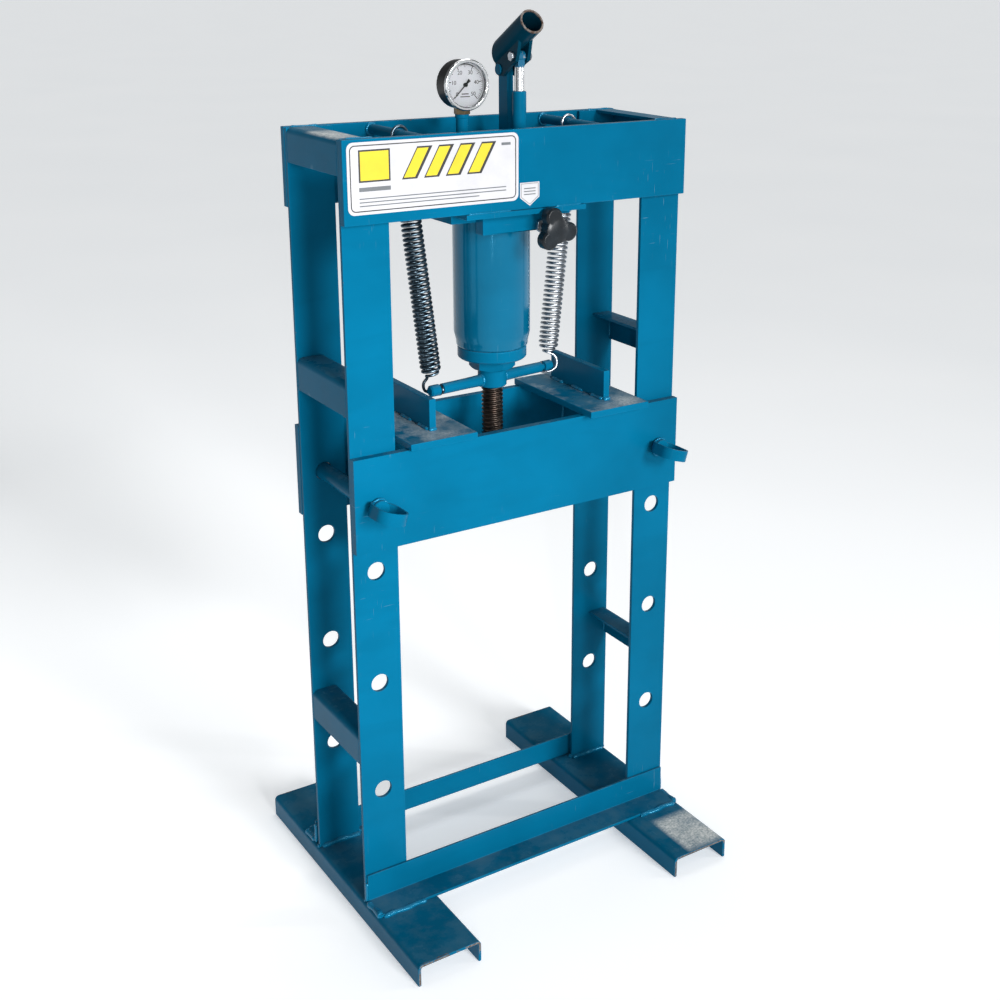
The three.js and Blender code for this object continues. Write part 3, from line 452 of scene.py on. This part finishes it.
def refined(node, width, materials):
    """A copy of a CAD node with its hard edges rounded and its round faces shaded smooth.

    width is the rounding's offset, and the second material goes on the rounded edges.
    """
    source = NODES[node]
    bm = bmesh.new()
    bm.from_mesh(source.data)
    bmesh.ops.remove_doubles(bm, verts=bm.verts, dist=1e-6)
    bmesh.ops.dissolve_limit(bm, angle_limit=math.radians(0.6), verts=bm.verts, edges=bm.edges)
    hard = [e for e in bm.edges if len(e.link_faces) == 2 and e.calc_face_angle(0) > math.radians(HARD_EDGE)]
    for face in bm.faces:
        face.material_index = 0
    if width:
        bmesh.ops.bevel(bm, geom=hard, offset=width, offset_type="OFFSET", segments=2, profile=0.6,
                        affect="EDGES", clamp_overlap=True, material=min(1, len(materials) - 1))
    mesh = mesh_from(f"{node}_shape", bm)
    smooth(mesh, 50)
    obj = new_object(f"{node}_detail", mesh, source["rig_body"], materials)
    weigh_normals(obj)
    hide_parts(node)
    return obj


def weigh_normals(obj):
    """Keeps flat faces flat beside their rounded edges."""
    modifier = obj.modifiers.new("normals", "WEIGHTED_NORMAL")
    modifier.keep_sharp = True
    modifier.weight = 80
    apply_modifiers(obj)


def apply_modifiers(obj):
    graph = bpy.context.evaluated_depsgraph_get()
    mesh = bpy.data.meshes.new_from_object(obj.evaluated_get(graph), preserve_all_data_layers=True,
                                           depsgraph=graph)
    obj.modifiers.clear()
    obj.data = mesh


def ring_of(bm, centre, side, other, radius, count):
    """One ring of vertices round a centre, in the plane of two directions."""
    made = []
    for i in range(count):
        t = 2 * math.pi * i / count
        made.append(bm.verts.new(centre + side * (radius * math.cos(t)) + other * (radius * math.sin(t))))
    return made


def bridge(bm, a, b):
    count = len(a)
    for i in range(count):
        bm.faces.new((a[i], a[(i + 1) % count], b[(i + 1) % count], b[i]))


def tube(bm, points, radius, count=8):
    """A closed tube along a path. radius is a number or a function of the point's index."""
    rings = []
    side = None
    for i, point in enumerate(points):
        ahead = points[min(i + 1, len(points) - 1)] - points[max(i - 1, 0)]
        ahead.normalize()
        if side is None:
            side = ahead.orthogonal().normalized()
        side = (side - ahead * side.dot(ahead)).normalized()
        r = radius(i) if callable(radius) else radius
        rings.append(ring_of(bm, point, side, ahead.cross(side), r, count))
    for a, b in zip(rings, rings[1:]):
        bridge(bm, a, b)
    bm.faces.new(list(reversed(rings[0])))
    bm.faces.new(rings[-1])


# ---------------------------------------------------------------- weld beads

ARM_Z = 0.871                    # the crossbar's arms, and how far they turn from the x axis
ARM_TURN = math.radians(7)
ARM_ALONG = Vector((math.cos(ARM_TURN), math.sin(ARM_TURN), 0))
ARM_ACROSS = Vector((-math.sin(ARM_TURN), math.cos(ARM_TURN), 0))
ARM_ROOT = 0.0238                # from the ram's axis to where an arm meets the hub
PIN_RING_BACK = -0.1110          # where each bed pin meets its finger ring


def weld_path(points, spacing=0.0011):
    """The same path with evenly spaced points."""
    even = []
    for a, b in zip(points, points[1:]):
        a, b = Vector(a), Vector(b)
        count = max(2, int((b - a).length / spacing))
        even += [a.lerp(b, i / count) for i in range(count)]
    return even + [Vector(points[-1])]


def bead(bm, points, radius, rng):
    """A rippled bead: rounded scales that overlap, with a little wander and uneven size."""
    path = weld_path(points)
    phase = rng.random() * 6
    wander = [rng.uniform(-0.2, 0.2) * radius for _ in range(3)]
    shifted = []
    for i, p in enumerate(path):
        drift = Vector((math.sin(i * 0.13 + phase), math.sin(i * 0.17 + phase * 2),
                        math.sin(i * 0.11 + phase * 3)))
        shifted.append(p + Vector((drift.x * wander[0], drift.y * wander[1], drift.z * wander[2])))
    last = len(path) - 1

    def size(i):
        scale = 0.86 + 0.2 * (((i * 0.36 + phase) % 1.0)) + 0.09 * math.sin(i * 0.21 + phase)
        ends = min(1.0, 0.55 + 0.15 * min(i, last - i))
        return radius * scale * ends

    tube(bm, shifted, size, 9)


def circle(centre, radius, axis, steps=40):
    """Points round a full circle about an axis; the last repeats the first."""
    a = Vector(axis).orthogonal().normalized()
    b = Vector(axis).normalized().cross(a)
    points = []
    for i in range(steps + 1):
        t = 2 * math.pi * i / steps
        points.append(Vector(centre) + a * (radius * math.cos(t)) + b * (radius * math.sin(t)))
    return points


def welds(name, body, lines, seed):
    """One piece of beads. lines holds (path, bead radius) pairs."""
    rng = random.Random(seed)
    bm = bmesh.new()
    for points, radius in lines:
        bead(bm, points, radius, rng)
    mesh = mesh_from(name, bm)
    smooth(mesh, 60)
    return new_object(name, mesh, body, [bead_paint_highlit])


def frame_welds():
    """Beads on the frame, the cylinder and what is mounted on it."""
    base, head, sides, cylinder, rods = [], [], [], [], []
    for side in ("left", "right"):
        s = -1 if side == "left" else 1
        foot_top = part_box(f"foot_{side}")[1].z
        for end in ("front", "rear"):
            low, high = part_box(f"leg_{end}_{side}")
            inner_y = high.y if end == "front" else low.y
            out_x = low.x if side == "left" else high.x
            in_x = high.x if side == "left" else low.x
            z = foot_top + 0.0015
            base.append(([(out_x - s * 0.004, inner_y, z), (in_x, inner_y, z)], 0.0058))
            base.append(([(in_x, low.y, z), (in_x, high.y, z)], 0.0052))
            base.append(([(out_x, low.y + 0.001, z), (out_x, high.y - 0.001, z)], 0.0036))
            plate_y = low.y if end == "front" else high.y
            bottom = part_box(f"head_plate_{end}")[0].z
            head.append(([(in_x, plate_y, bottom + 0.001), (in_x, plate_y, bottom + 0.06)], 0.0026))
            top = high.z - 0.0005
            head.append(([(out_x - s * 0.01, plate_y, top), (out_x - s * 0.055, plate_y, top)], 0.0032))
            for level in ("lower", "upper"):
                a_low, a_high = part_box(f"side_angle_{level}_{side}")
                x = a_low.x if side == "left" else a_high.x
                y = a_low.y if end == "front" else a_high.y
                up_x, over_z = x - s * 0.0055, a_high.z - 0.0052
                sides.append(([(up_x, y, a_low.z + 0.004), (up_x, y, a_high.z - 0.012)], 0.0026))
                sides.append(([(x - s * 0.012, y, over_z), (x - s * 0.038, y, over_z)], 0.0028))
        low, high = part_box(f"spring_rod_{side}")
        middle = (low.x + high.x) / 2
        centre_z = (low.z + high.z) / 2
        for y in (low.y, high.y):
            rods.append((circle((middle, y - math.copysign(0.001, y), centre_z), 0.0085, (0, 1, 0)), 0.0026))
    for end in ("front", "rear"):
        low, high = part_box(f"base_angle_{end}")
        flange_y = (low.y, low.y + 0.045) if end == "front" else (high.y - 0.035, high.y)
        y_out = low.y if end == "front" else high.y
        for x in (low.x, high.x):
            s = math.copysign(1, x)
            z = low.z + 0.0008
            base.append(([(x - s * 0.0005, flange_y[0], z), (x - s * 0.0005, flange_y[1], z)], 0.0056))
            base.append(([(x - s * 0.004, y_out, z), (x - s * 0.082, y_out, z)], 0.0048))
            y = high.y if end == "front" else low.y
            base.append(([(x, y, low.z), (x, y, low.z + 0.035)], 0.0038))
    low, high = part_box("cylinder_top_plate")
    barrel_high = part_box("cylinder_barrel")[1]
    cylinder.append((circle((0, 0, barrel_high.z - 0.0006), barrel_high.x + 0.0008, UP, steps=90), 0.0036))
    mount_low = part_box("mount_plate")[0]
    for y in (low.y, high.y):
        cylinder.append(([(low.x + 0.01, y, mount_low.z), (-0.04, y, mount_low.z)], 0.003))
        cylinder.append(([(0.06, y, mount_low.z), (high.x - 0.008, y, mount_low.z)], 0.003))
    v_low, v_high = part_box("valve_block")
    cylinder.append(([(v_low.x + 0.002, v_low.y, v_high.z), (v_high.x - 0.004, v_low.y, v_high.z)], 0.0028))
    cylinder.append(([(v_high.x, v_low.y, v_high.z - 0.001), (v_high.x, v_high.y, v_high.z - 0.001)], 0.003))
    p_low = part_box("head_plate_front")[0]
    seam_y = p_low.y + 0.0005
    cylinder.append(([(mount_low.x + 0.006, seam_y, p_low.z), (-0.03, seam_y, p_low.z)], 0.0022))
    cylinder.append(([(0.055, seam_y, p_low.z), (0.1, seam_y, p_low.z)], 0.0022))
    for node, radius in (("pump_tube", 0.0125), ("gauge_riser", 0.0105)):
        n_low, n_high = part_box(node)
        centre = ((n_low.x + n_high.x) / 2, (n_low.y + n_high.y) / 2, n_low.z + 0.001)
        cylinder.append((circle(centre, radius, UP), 0.003))
    n_low, n_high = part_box("fulcrum_post")
    z = n_low.z + 0.0008
    for x in (n_low.x, n_high.x):
        cylinder.append(([(x, n_low.y, z), (x, n_high.y, z)], 0.003))
    welds("weld_beads_base", "frame", base, 11)
    welds("weld_beads_head", "frame", head, 12)
    welds("weld_beads_side_angles", "frame", sides, 13)
    welds("weld_beads_rods", "frame", rods, 14)
    welds("weld_beads_cylinder", "frame", cylinder, 15)


def moving_welds():
    """Beads on the crossbar, the press plates and the bed pins, and last on the bed."""
    hub_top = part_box("spring_crossbar")[1].z
    ends = []
    for s in (-1, 1):
        root = ARM_ALONG * (s * ARM_ROOT) + Vector((0, 0, ARM_Z))
        ends.append((circle(root, 0.0088, ARM_ALONG), 0.0028))
    ends.append((circle((0, 0, hub_top), 0.0232, UP, steps=60), 0.0022))
    welds("weld_beads_crossbar", "ram", ends, 16)
    for side, seed in (("left", 17), ("right", 18)):
        low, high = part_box(f"press_plate_rib_{side}")
        z = low.z + 0.0008
        lines = []
        for y in (low.y, high.y):
            lines.append(([(low.x - 0.001, y, z), (high.x + 0.001, y, z)], 0.0042))
        for x in (low.x, high.x):
            for start in (0.004, 0.062, 0.122):
                lines.append(([(x, low.y + start, z), (x, low.y + start + 0.034, z)], 0.0036))
        welds(f"weld_beads_press_plate_{side}", f"plate_{side}", lines, seed)
    for side, seed in (("left", 19), ("right", 20)):
        low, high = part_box(f"bed_pin_{side}")
        x = (low.x + high.x) / 2
        z = (low.z + high.z) / 2
        lines = [(circle((x, PIN_RING_BACK, z), 0.0146, (0, 1, 0), steps=48), 0.0021)]
        welds(f"weld_beads_pin_{side}", f"pin_{side}", lines, seed)
    lines = []
    for side in (-1, 1):
        s_low, s_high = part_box("bed_spacer_left" if side < 0 else "bed_spacer_right")
        for y in (s_low.y, s_high.y):
            for x in (s_low.x, s_high.x):
                lines.append(([(x, y, s_low.z + 0.01), (x, y, s_high.z - 0.02)], 0.0034))
    welds("weld_beads_bed", "frame", lines, 21)


# ---------------------------------------------------------------- springs

SPRING_RADIUS = 0.0170           # the outside of both coils
HOOK_INSIDE = 0.0054             # a lower hook round the arm's groove, whose neck is 5.2 mm in radius
ROD_CLEAR = 0.0085               # just outside a spring rod, which is 8 mm in radius
HOOK_SLACK = 0.002
HOOK_START, HOOK_SWEEP = -80, 290   # degrees round the rod, from the x axis


def coil_spring(name, node, low, high, radius, wire, turns, hook_low, hook_high, material):
    """A close coil between two hooks. hook_low and hook_high are the paths from coil end to hook tip."""
    axis = (high - low).normalized()
    side = axis.cross(Vector((0, 1, 0))).normalized()
    other = axis.cross(side)
    steps = 22
    points = []
    count = int(turns * steps)
    for i in range(count + 1):
        t = 2 * math.pi * i / steps
        f = i / count
        grow = min(1.0, 0.62 + 0.38 * min(f, 1 - f) * turns / 1.2)
        r = radius * grow
        points.append(low.lerp(high, f) + side * (r * math.cos(t)) + other * (r * math.sin(t)))
    start = rounded([points[0]] + hook_low)
    finish = rounded([points[-1]] + hook_high)
    path = list(reversed(start)) + points[1:-1] + finish
    bm = bmesh.new()
    tube(bm, path, wire / 2, 8)
    mesh = mesh_from(name, bm)
    smooth(mesh, 60)
    obj = new_object(name, mesh, None, [material])
    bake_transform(obj)
    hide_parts(node)
    return obj


def rounded(points, steps=6):
    """A Catmull-Rom curve through the points."""
    p = [points[0] * 2 - points[1]] + list(points) + [points[-1] * 2 - points[-2]]
    out = []
    for i in range(1, len(p) - 2):
        for k in range(steps):
            t = k / steps
            out.append(0.5 * ((2 * p[i]) + (p[i + 1] - p[i - 1]) * t
                              + (2 * p[i - 1] - 5 * p[i] + 4 * p[i + 1] - p[i + 2]) * t * t
                              + (3 * p[i] - p[i - 1] - 3 * p[i + 1] + p[i + 2]) * t ** 3))
    return out + [points[-1]]


def rod_hook(centre, radius, steps=12):
    """Points round a hook's loop over a rod that runs along y."""
    points = []
    for i in range(steps + 1):
        t = math.radians(HOOK_START + HOOK_SWEEP * i / steps)
        points.append(centre + Vector((1, 0, 0)) * (radius * math.cos(t)) + UP * (radius * math.sin(t)))
    return points


def springs():
    """Both return springs, each from the crossbar's arm up to its rod."""
    settings = {
        "left": (46.5, 0.0050, blued, "spring_steel_dark", -1),
        "right": (45, 0.0046, zinc, "spring_steel_zinc", 1),
    }
    for side, (turns, wire, material, slot, s) in settings.items():
        node = f"return_spring_{side}"
        low, high = spring_axis(node)
        neck = HOOK_INSIDE + wire / 2
        # Out past the arm's end, down beside it, under the arm and up through its groove.
        stations = [
            (0.125, 0.009, 0.891), (0.1295, 0.0125, 0.882), (0.1275, 0.0135, ARM_Z), (0.119, 0.0125, 0.8652),
            (0.1115, 0.0078, 0.8634), (0.1062, 0.0, ARM_Z - neck), (0.106, -neck, ARM_Z),
            (0.106, -0.001, ARM_Z + neck),
        ]
        low_path = [ARM_ALONG * s * out + ARM_ACROSS * -s * beside + UP * z for out, beside, z in stations]
        rod_low, rod_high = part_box(f"spring_rod_{side}")
        rod = Vector(((rod_low.x + rod_high.x) / 2, high.y, (rod_low.z + rod_high.z) / 2))
        rod_loop = ROD_CLEAR + wire / 2 + HOOK_SLACK
        high_path = [high + (rod - high) * 0.35] + rod_hook(rod, rod_loop)
        coil_spring(f"spring_coil_{side}", node, low, high, SPRING_RADIUS - wire / 2, wire, turns,
                    low_path, high_path, material)


def spring_axis(node):
    """The two ends of the leaning cylinder that stands for a spring."""
    vertices = [v.co for v in NODES[node].data.vertices]
    top = max(v.z for v in vertices)
    bottom = min(v.z for v in vertices)
    middle = (top + bottom) / 2
    ends = []
    for group in ([v for v in vertices if v.z < middle], [v for v in vertices if v.z > middle]):
        ends.append(sum((v.copy() for v in group), Vector()) / len(group))
    return ends


# ---------------------------------------------------------------- adjusting screw

THREAD_DEPTH = 0.0028
THREAD_PITCH = 0.007


def threaded_screw():
    """The adjusting screw with a rounded thread between two plain ends."""
    low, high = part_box("adjusting_screw")
    crest = (high.x - low.x) / 2
    root = crest - THREAD_DEPTH
    pitch = THREAD_PITCH
    around = 40
    end = 0.004
    threaded = high.z - low.z - 2 * end
    rows = int(threaded / pitch * 8)
    bm = bmesh.new()
    rings = []
    shape = [0.0, 0.0, 0.25, 0.8, 1.0, 1.0, 0.8, 0.25]
    for row in range(rows + 1):
        z = low.z + end + threaded * row / rows
        ring = []
        for k in range(around):
            t = 2 * math.pi * k / around
            place = ((z / pitch - k / around) % 1.0) * len(shape)
            i = int(place) % len(shape)
            blend = shape[i] + (shape[(i + 1) % len(shape)] - shape[i]) * (place - int(place))
            r = root + (crest - root) * blend
            ring.append(bm.verts.new((r * math.cos(t), r * math.sin(t), z)))
        rings.append(ring)
    for a, b in zip(rings, rings[1:]):
        bridge(bm, a, b)
    for ring, z, r in ((rings[0], low.z, root - 0.001), (rings[-1], high.z, root - 0.001)):
        cap = ring_of(bm, Vector((0, 0, z)), Vector((1, 0, 0)), Vector((0, 1, 0)), r, around)
        if ring is rings[0]:
            bridge(bm, cap, ring)
            bm.faces.new(list(reversed(cap)))
        else:
            bridge(bm, ring, cap)
            bm.faces.new(cap)
    mesh = mesh_from("screw_thread", bm)
    smooth(mesh, 75)
    obj = new_object("screw_thread", mesh, "screw", [oiled_steel])
    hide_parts("adjusting_screw")


# ---------------------------------------------------------------- label, sticker and gauge face

def flat_shapes(name, body, shapes, y_front, thickness, material):
    """Flat printed shapes in the (x, z) plane, each a list of corners, a hair proud of the face behind."""
    bm = bmesh.new()
    for corners in shapes:
        front = [bm.verts.new((x, y_front, z)) for x, z in corners]
        back = [bm.verts.new((x, y_front + thickness, z)) for x, z in corners]
        bm.faces.new(front)
        bm.faces.new(list(reversed(back)))
        bridge(bm, back, front)
    return new_object(name, mesh_from(name, bm), body, [material])


def rounded_outline(x0, x1, z0, z1, radius, width, steps=6):
    """Quads that follow a rectangle with round corners."""
    inner, outer = [], []
    for x, z, first in ((x1, z1, 0), (x0, z1, 90), (x0, z0, 180), (x1, z0, 270)):
        cx = x - radius if x == x1 else x + radius
        cz = z - radius if z == z1 else z + radius
        for i in range(steps + 1):
            t = math.radians(first + 90 * i / steps)
            outer.append((cx + radius * math.cos(t), cz + radius * math.sin(t)))
            inner.append((cx + (radius - width) * math.cos(t), cz + (radius - width) * math.sin(t)))
    n = len(outer)
    return [[outer[i], outer[(i + 1) % n], inner[(i + 1) % n], inner[i]] for i in range(n)]


def box_shape(x0, x1, z0, z1):
    return [(x0, z0), (x1, z0), (x1, z1), (x0, z1)]


def slanted(x0, x1, z0, z1, lean):
    return [(x0, z0), (x1, z0), (x1 + lean, z1), (x0 + lean, z1)]


def label():
    """A generic label with plain shapes in place of words, and a small sticker on the head plate."""
    low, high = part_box("head_label")
    y = low.y - 0.00015
    ink = 0.00012
    outline = rounded_outline(low.x + 0.0042, high.x - 0.0042, low.z + 0.0042, high.z - 0.0042, 0.008, 0.0016)
    black, yellow, grey = [], [], []
    x0, z0 = low.x + 0.018, low.z + 0.046
    tall = 0.046
    black += [box_shape(x0, x0 + 0.05, z0, z0 + tall)]
    yellow += [box_shape(x0 + 0.0025, x0 + 0.0475, z0 + 0.0025, z0 + tall - 0.0025)]
    lean = 0.026
    start = x0 + 0.068
    for i in range(4):
        left = start + i * 0.036
        black.append(slanted(left, left + 0.025, z0, z0 + tall, lean))
        yellow.append(slanted(left + 0.0032, left + 0.0215, z0 + 0.0025, z0 + tall - 0.0025, lean * 0.89))
    for row, (a, b) in enumerate(((0.018, 0.262), (0.018, 0.262), (0.018, 0.215))):
        z = low.z + 0.022 - row * 0.0052
        grey.append(box_shape(low.x + a, low.x + b, z, z + 0.0016))
    grey.append(box_shape(x0, x0 + 0.05, low.z + 0.033, low.z + 0.039))
    grey.append(box_shape(high.x - 0.03, high.x - 0.014, high.z - 0.018, high.z - 0.014))
    flat_shapes("label_outline", "frame", outline, y, ink, black_ink)
    flat_shapes("label_black_shapes", "frame", black, y, ink, black_ink)
    flat_shapes("label_yellow_shapes", "frame", yellow, y - 0.0001, ink, yellow_ink)
    flat_shapes("label_grey_rules", "frame", grey, y, ink, grey_ink)

    plate_low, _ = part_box("head_plate_front")
    face = plate_low.y - 0.0005
    home = [(0.0045, 1.171), (0.022, 1.184), (0.022, 1.207), (-0.013, 1.207), (-0.013, 1.184)]
    flat_shapes("plate_sticker", "frame", [home], face, 0.0004, white_film)
    middle = Vector((0.0045, 1.192))
    inner = [((Vector(p) - middle) * 0.88 + middle) for p in home]
    for i in range(5):
        a, b = inner[i], inner[(i + 1) % 5]
        across = Vector((-(b - a).y, (b - a).x)).normalized() * 0.0004
        strip = [tuple(a - across), tuple(b - across), tuple(b + across), tuple(a + across)]
        flat_shapes(f"sticker_line_{i}", "frame", [strip], face - 0.00012, 0.0001, grey_ink)
    rules = [box_shape(-0.006, 0.015, 1.188 + 0.0045 * k, 1.1896 + 0.0045 * k) for k in range(3)]
    flat_shapes("sticker_rules", "frame", rules, face - 0.00012, 0.0001, grey_ink)


def gauge_face():
    """A generic scale from 0 to 50, with a tick for each unit and a number for each ten."""
    low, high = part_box("gauge_dial")
    centre = Vector(((low.x + high.x) / 2, (low.z + high.z) / 2))
    y = low.y - 0.00015
    first, sweep = -135, 270         # degrees from straight up
    rim, edge = 0.0305, 0.0316

    def at(radius, degrees):
        t = math.radians(degrees)
        return (centre.x + radius * math.sin(t), centre.y + radius * math.cos(t))

    def tick(degrees, inner, outer, half):
        wide = math.degrees(half / outer)
        narrow = math.degrees(half / inner)
        return [at(inner, degrees - narrow), at(outer, degrees - wide), at(outer, degrees + wide),
                at(inner, degrees + narrow)]

    ticks = []
    for i in range(51):
        degrees = first + sweep * i / 50
        if i % 10 == 0:
            ticks.append(tick(degrees, 0.0245, rim, 0.0006))
        elif i % 5 == 0:
            ticks.append(tick(degrees, 0.0262, rim, 0.0004))
        else:
            ticks.append(tick(degrees, 0.0280, rim, 0.0002))
    band = []
    for i in range(54):
        a = first + sweep * i / 54
        b = first + sweep * (i + 1) / 54
        thick = 0.0016 if i < 33 else 0.0006
        band.append([at(edge - thick, a), at(edge, a), at(edge, b), at(edge - thick, b)])
    flat_shapes("gauge_scale", "frame", ticks + band, y, 0.00012, black_ink)
    rules = [box_shape(centre.x - 0.006, centre.x + 0.006, centre.y - 0.0145, centre.y - 0.013),
             box_shape(centre.x - 0.0085, centre.x + 0.0085, centre.y - 0.0185, centre.y - 0.0172)]
    flat_shapes("gauge_rules", "frame", rules, y, 0.00012, black_ink)
    for i, text in enumerate(("0", "10", "20", "30", "40", "50")):
        x, z = at(0.0200, first + sweep * i / 5)
        data = bpy.data.curves.new(f"gauge_number_{i}", "FONT")
        data.body = text
        data.size = 0.0085
        data.align_x = "CENTER"
        data.align_y = "CENTER"
        data.extrude = 0.0001
        made = bpy.data.objects.new("number", data)
        bpy.context.scene.collection.objects.link(made)
        made.location = (x, y - 0.0001, z)
        made.rotation_euler = (math.pi / 2, 0, 0)
        bpy.context.view_layer.update()
        mesh = bpy.data.meshes.new_from_object(made)
        mesh.transform(made.matrix_world)
        mesh.name = f"gauge_number_{i}"
        bpy.data.objects.remove(made)
        mesh.materials.clear()
        new_object(f"gauge_number_{i}", mesh, "frame", [black_ink])


# ---------------------------------------------------------------- everything else

# How far each piece's hard edges are rounded, by the start of its name. The longest match wins.
EDGE = {
    "leg_": 0.0012, "head_plate": 0.0014, "bed_plate": 0.0014, "bed_spacer": 0.001, "side_angle": 0.0009,
    "head_angle": 0.0009, "foot_": 0.0008, "base_angle": 0.0012, "mount_plate": 0.0009,
    "cylinder_top_plate": 0.001, "press_plate_base": 0.0013, "press_plate_rib": 0.0012,
    "cylinder_barrel": 0.0012, "cylinder_gland": 0.0008, "spring_rod": 0.0006, "ram": 0.0008,
    "spring_crossbar": 0.0005, "bed_pin": 0.0006, "valve_block": 0.0012, "valve_gland_nut": 0.0006,
    "release_valve_stem": 0.0004, "release_knob": 0.0012, "gauge_riser": 0.0006, "gauge_stem": 0.0005,
    "gauge_case": 0.0008, "gauge_dial": 0.0002, "gauge_needle": 0.00012, "gauge_bezel": 0.0004,
    "gauge_lens": 0.0002, "pump_tube": 0.0007, "pump_plunger": 0.0004, "plunger_bolt": 0.0004,
    "fulcrum_post": 0.001, "fulcrum_pin": 0.0006, "pump_lever": 0.0006, "screw_nose": 0.0006,
    "piston": 0.0004, "wiper_seal": 0.0003, "head_label": 0.00015,
}
# The materials of faces and of rounded edges, found in the same way.
LOOKS = {
    "foot_": (foot_paint, paint_edge_highlit), "foot_right": (right_foot_paint, paint_edge_highlit),
    "head_angle": (head_angle_paint_with_reflection, paint_edge_highlit), "cylinder_barrel": (cylinder_paint_shaded, cylinder_paint_shaded),
    "press_plate_base": (plate_paint, paint_edge_highlit), "pump_lever": (deep_paint, deep_edge),
    "head_label": (white_film, white_film), "valve_gland_nut": (zinc, zinc),
    "release_valve_stem": (zinc, zinc), "release_knob": (knob_plastic, knob_plastic),
    "gauge_stem": (old_brass, old_brass), "gauge_case": (black_lacquer, black_lacquer),
    "gauge_dial": (white_dial, white_dial), "gauge_needle": (black_ink, black_ink),
    "gauge_lens": (glass, glass), "gauge_bezel": (chrome, chrome), "plunger_bolt": (zinc, zinc),
    "pump_plunger": (plunger_metal, plunger_metal), "screw_nose": (oiled_steel, oiled_steel),
    "piston_seal": (rubber, rubber), "piston": (machined, machined),
    "wiper_seal": (rubber, rubber),
}
CUSTOM = {"return_spring_left", "return_spring_right", "adjusting_screw"}


def starting(table, node, default):
    found = [key for key in table if node.startswith(key)]
    return table[max(found, key=len)] if found else default


def plain_pieces():
    for node in sorted(NODES):
        if node in CUSTOM:
            continue
        refined(node, starting(EDGE, node, 0.0003), list(starting(LOOKS, node, (paint, paint_edge_highlit))))


camera_and_light()
plain_pieces()
frame_welds()
moving_welds()
springs()
threaded_screw()
label()
gauge_face()

# The CAD nodes behind the custom pieces are hidden, and have a finished material too.
for name in CUSTOM:
    NODES[name].data.materials.clear()
    NODES[name].data.materials.append(oiled_steel)
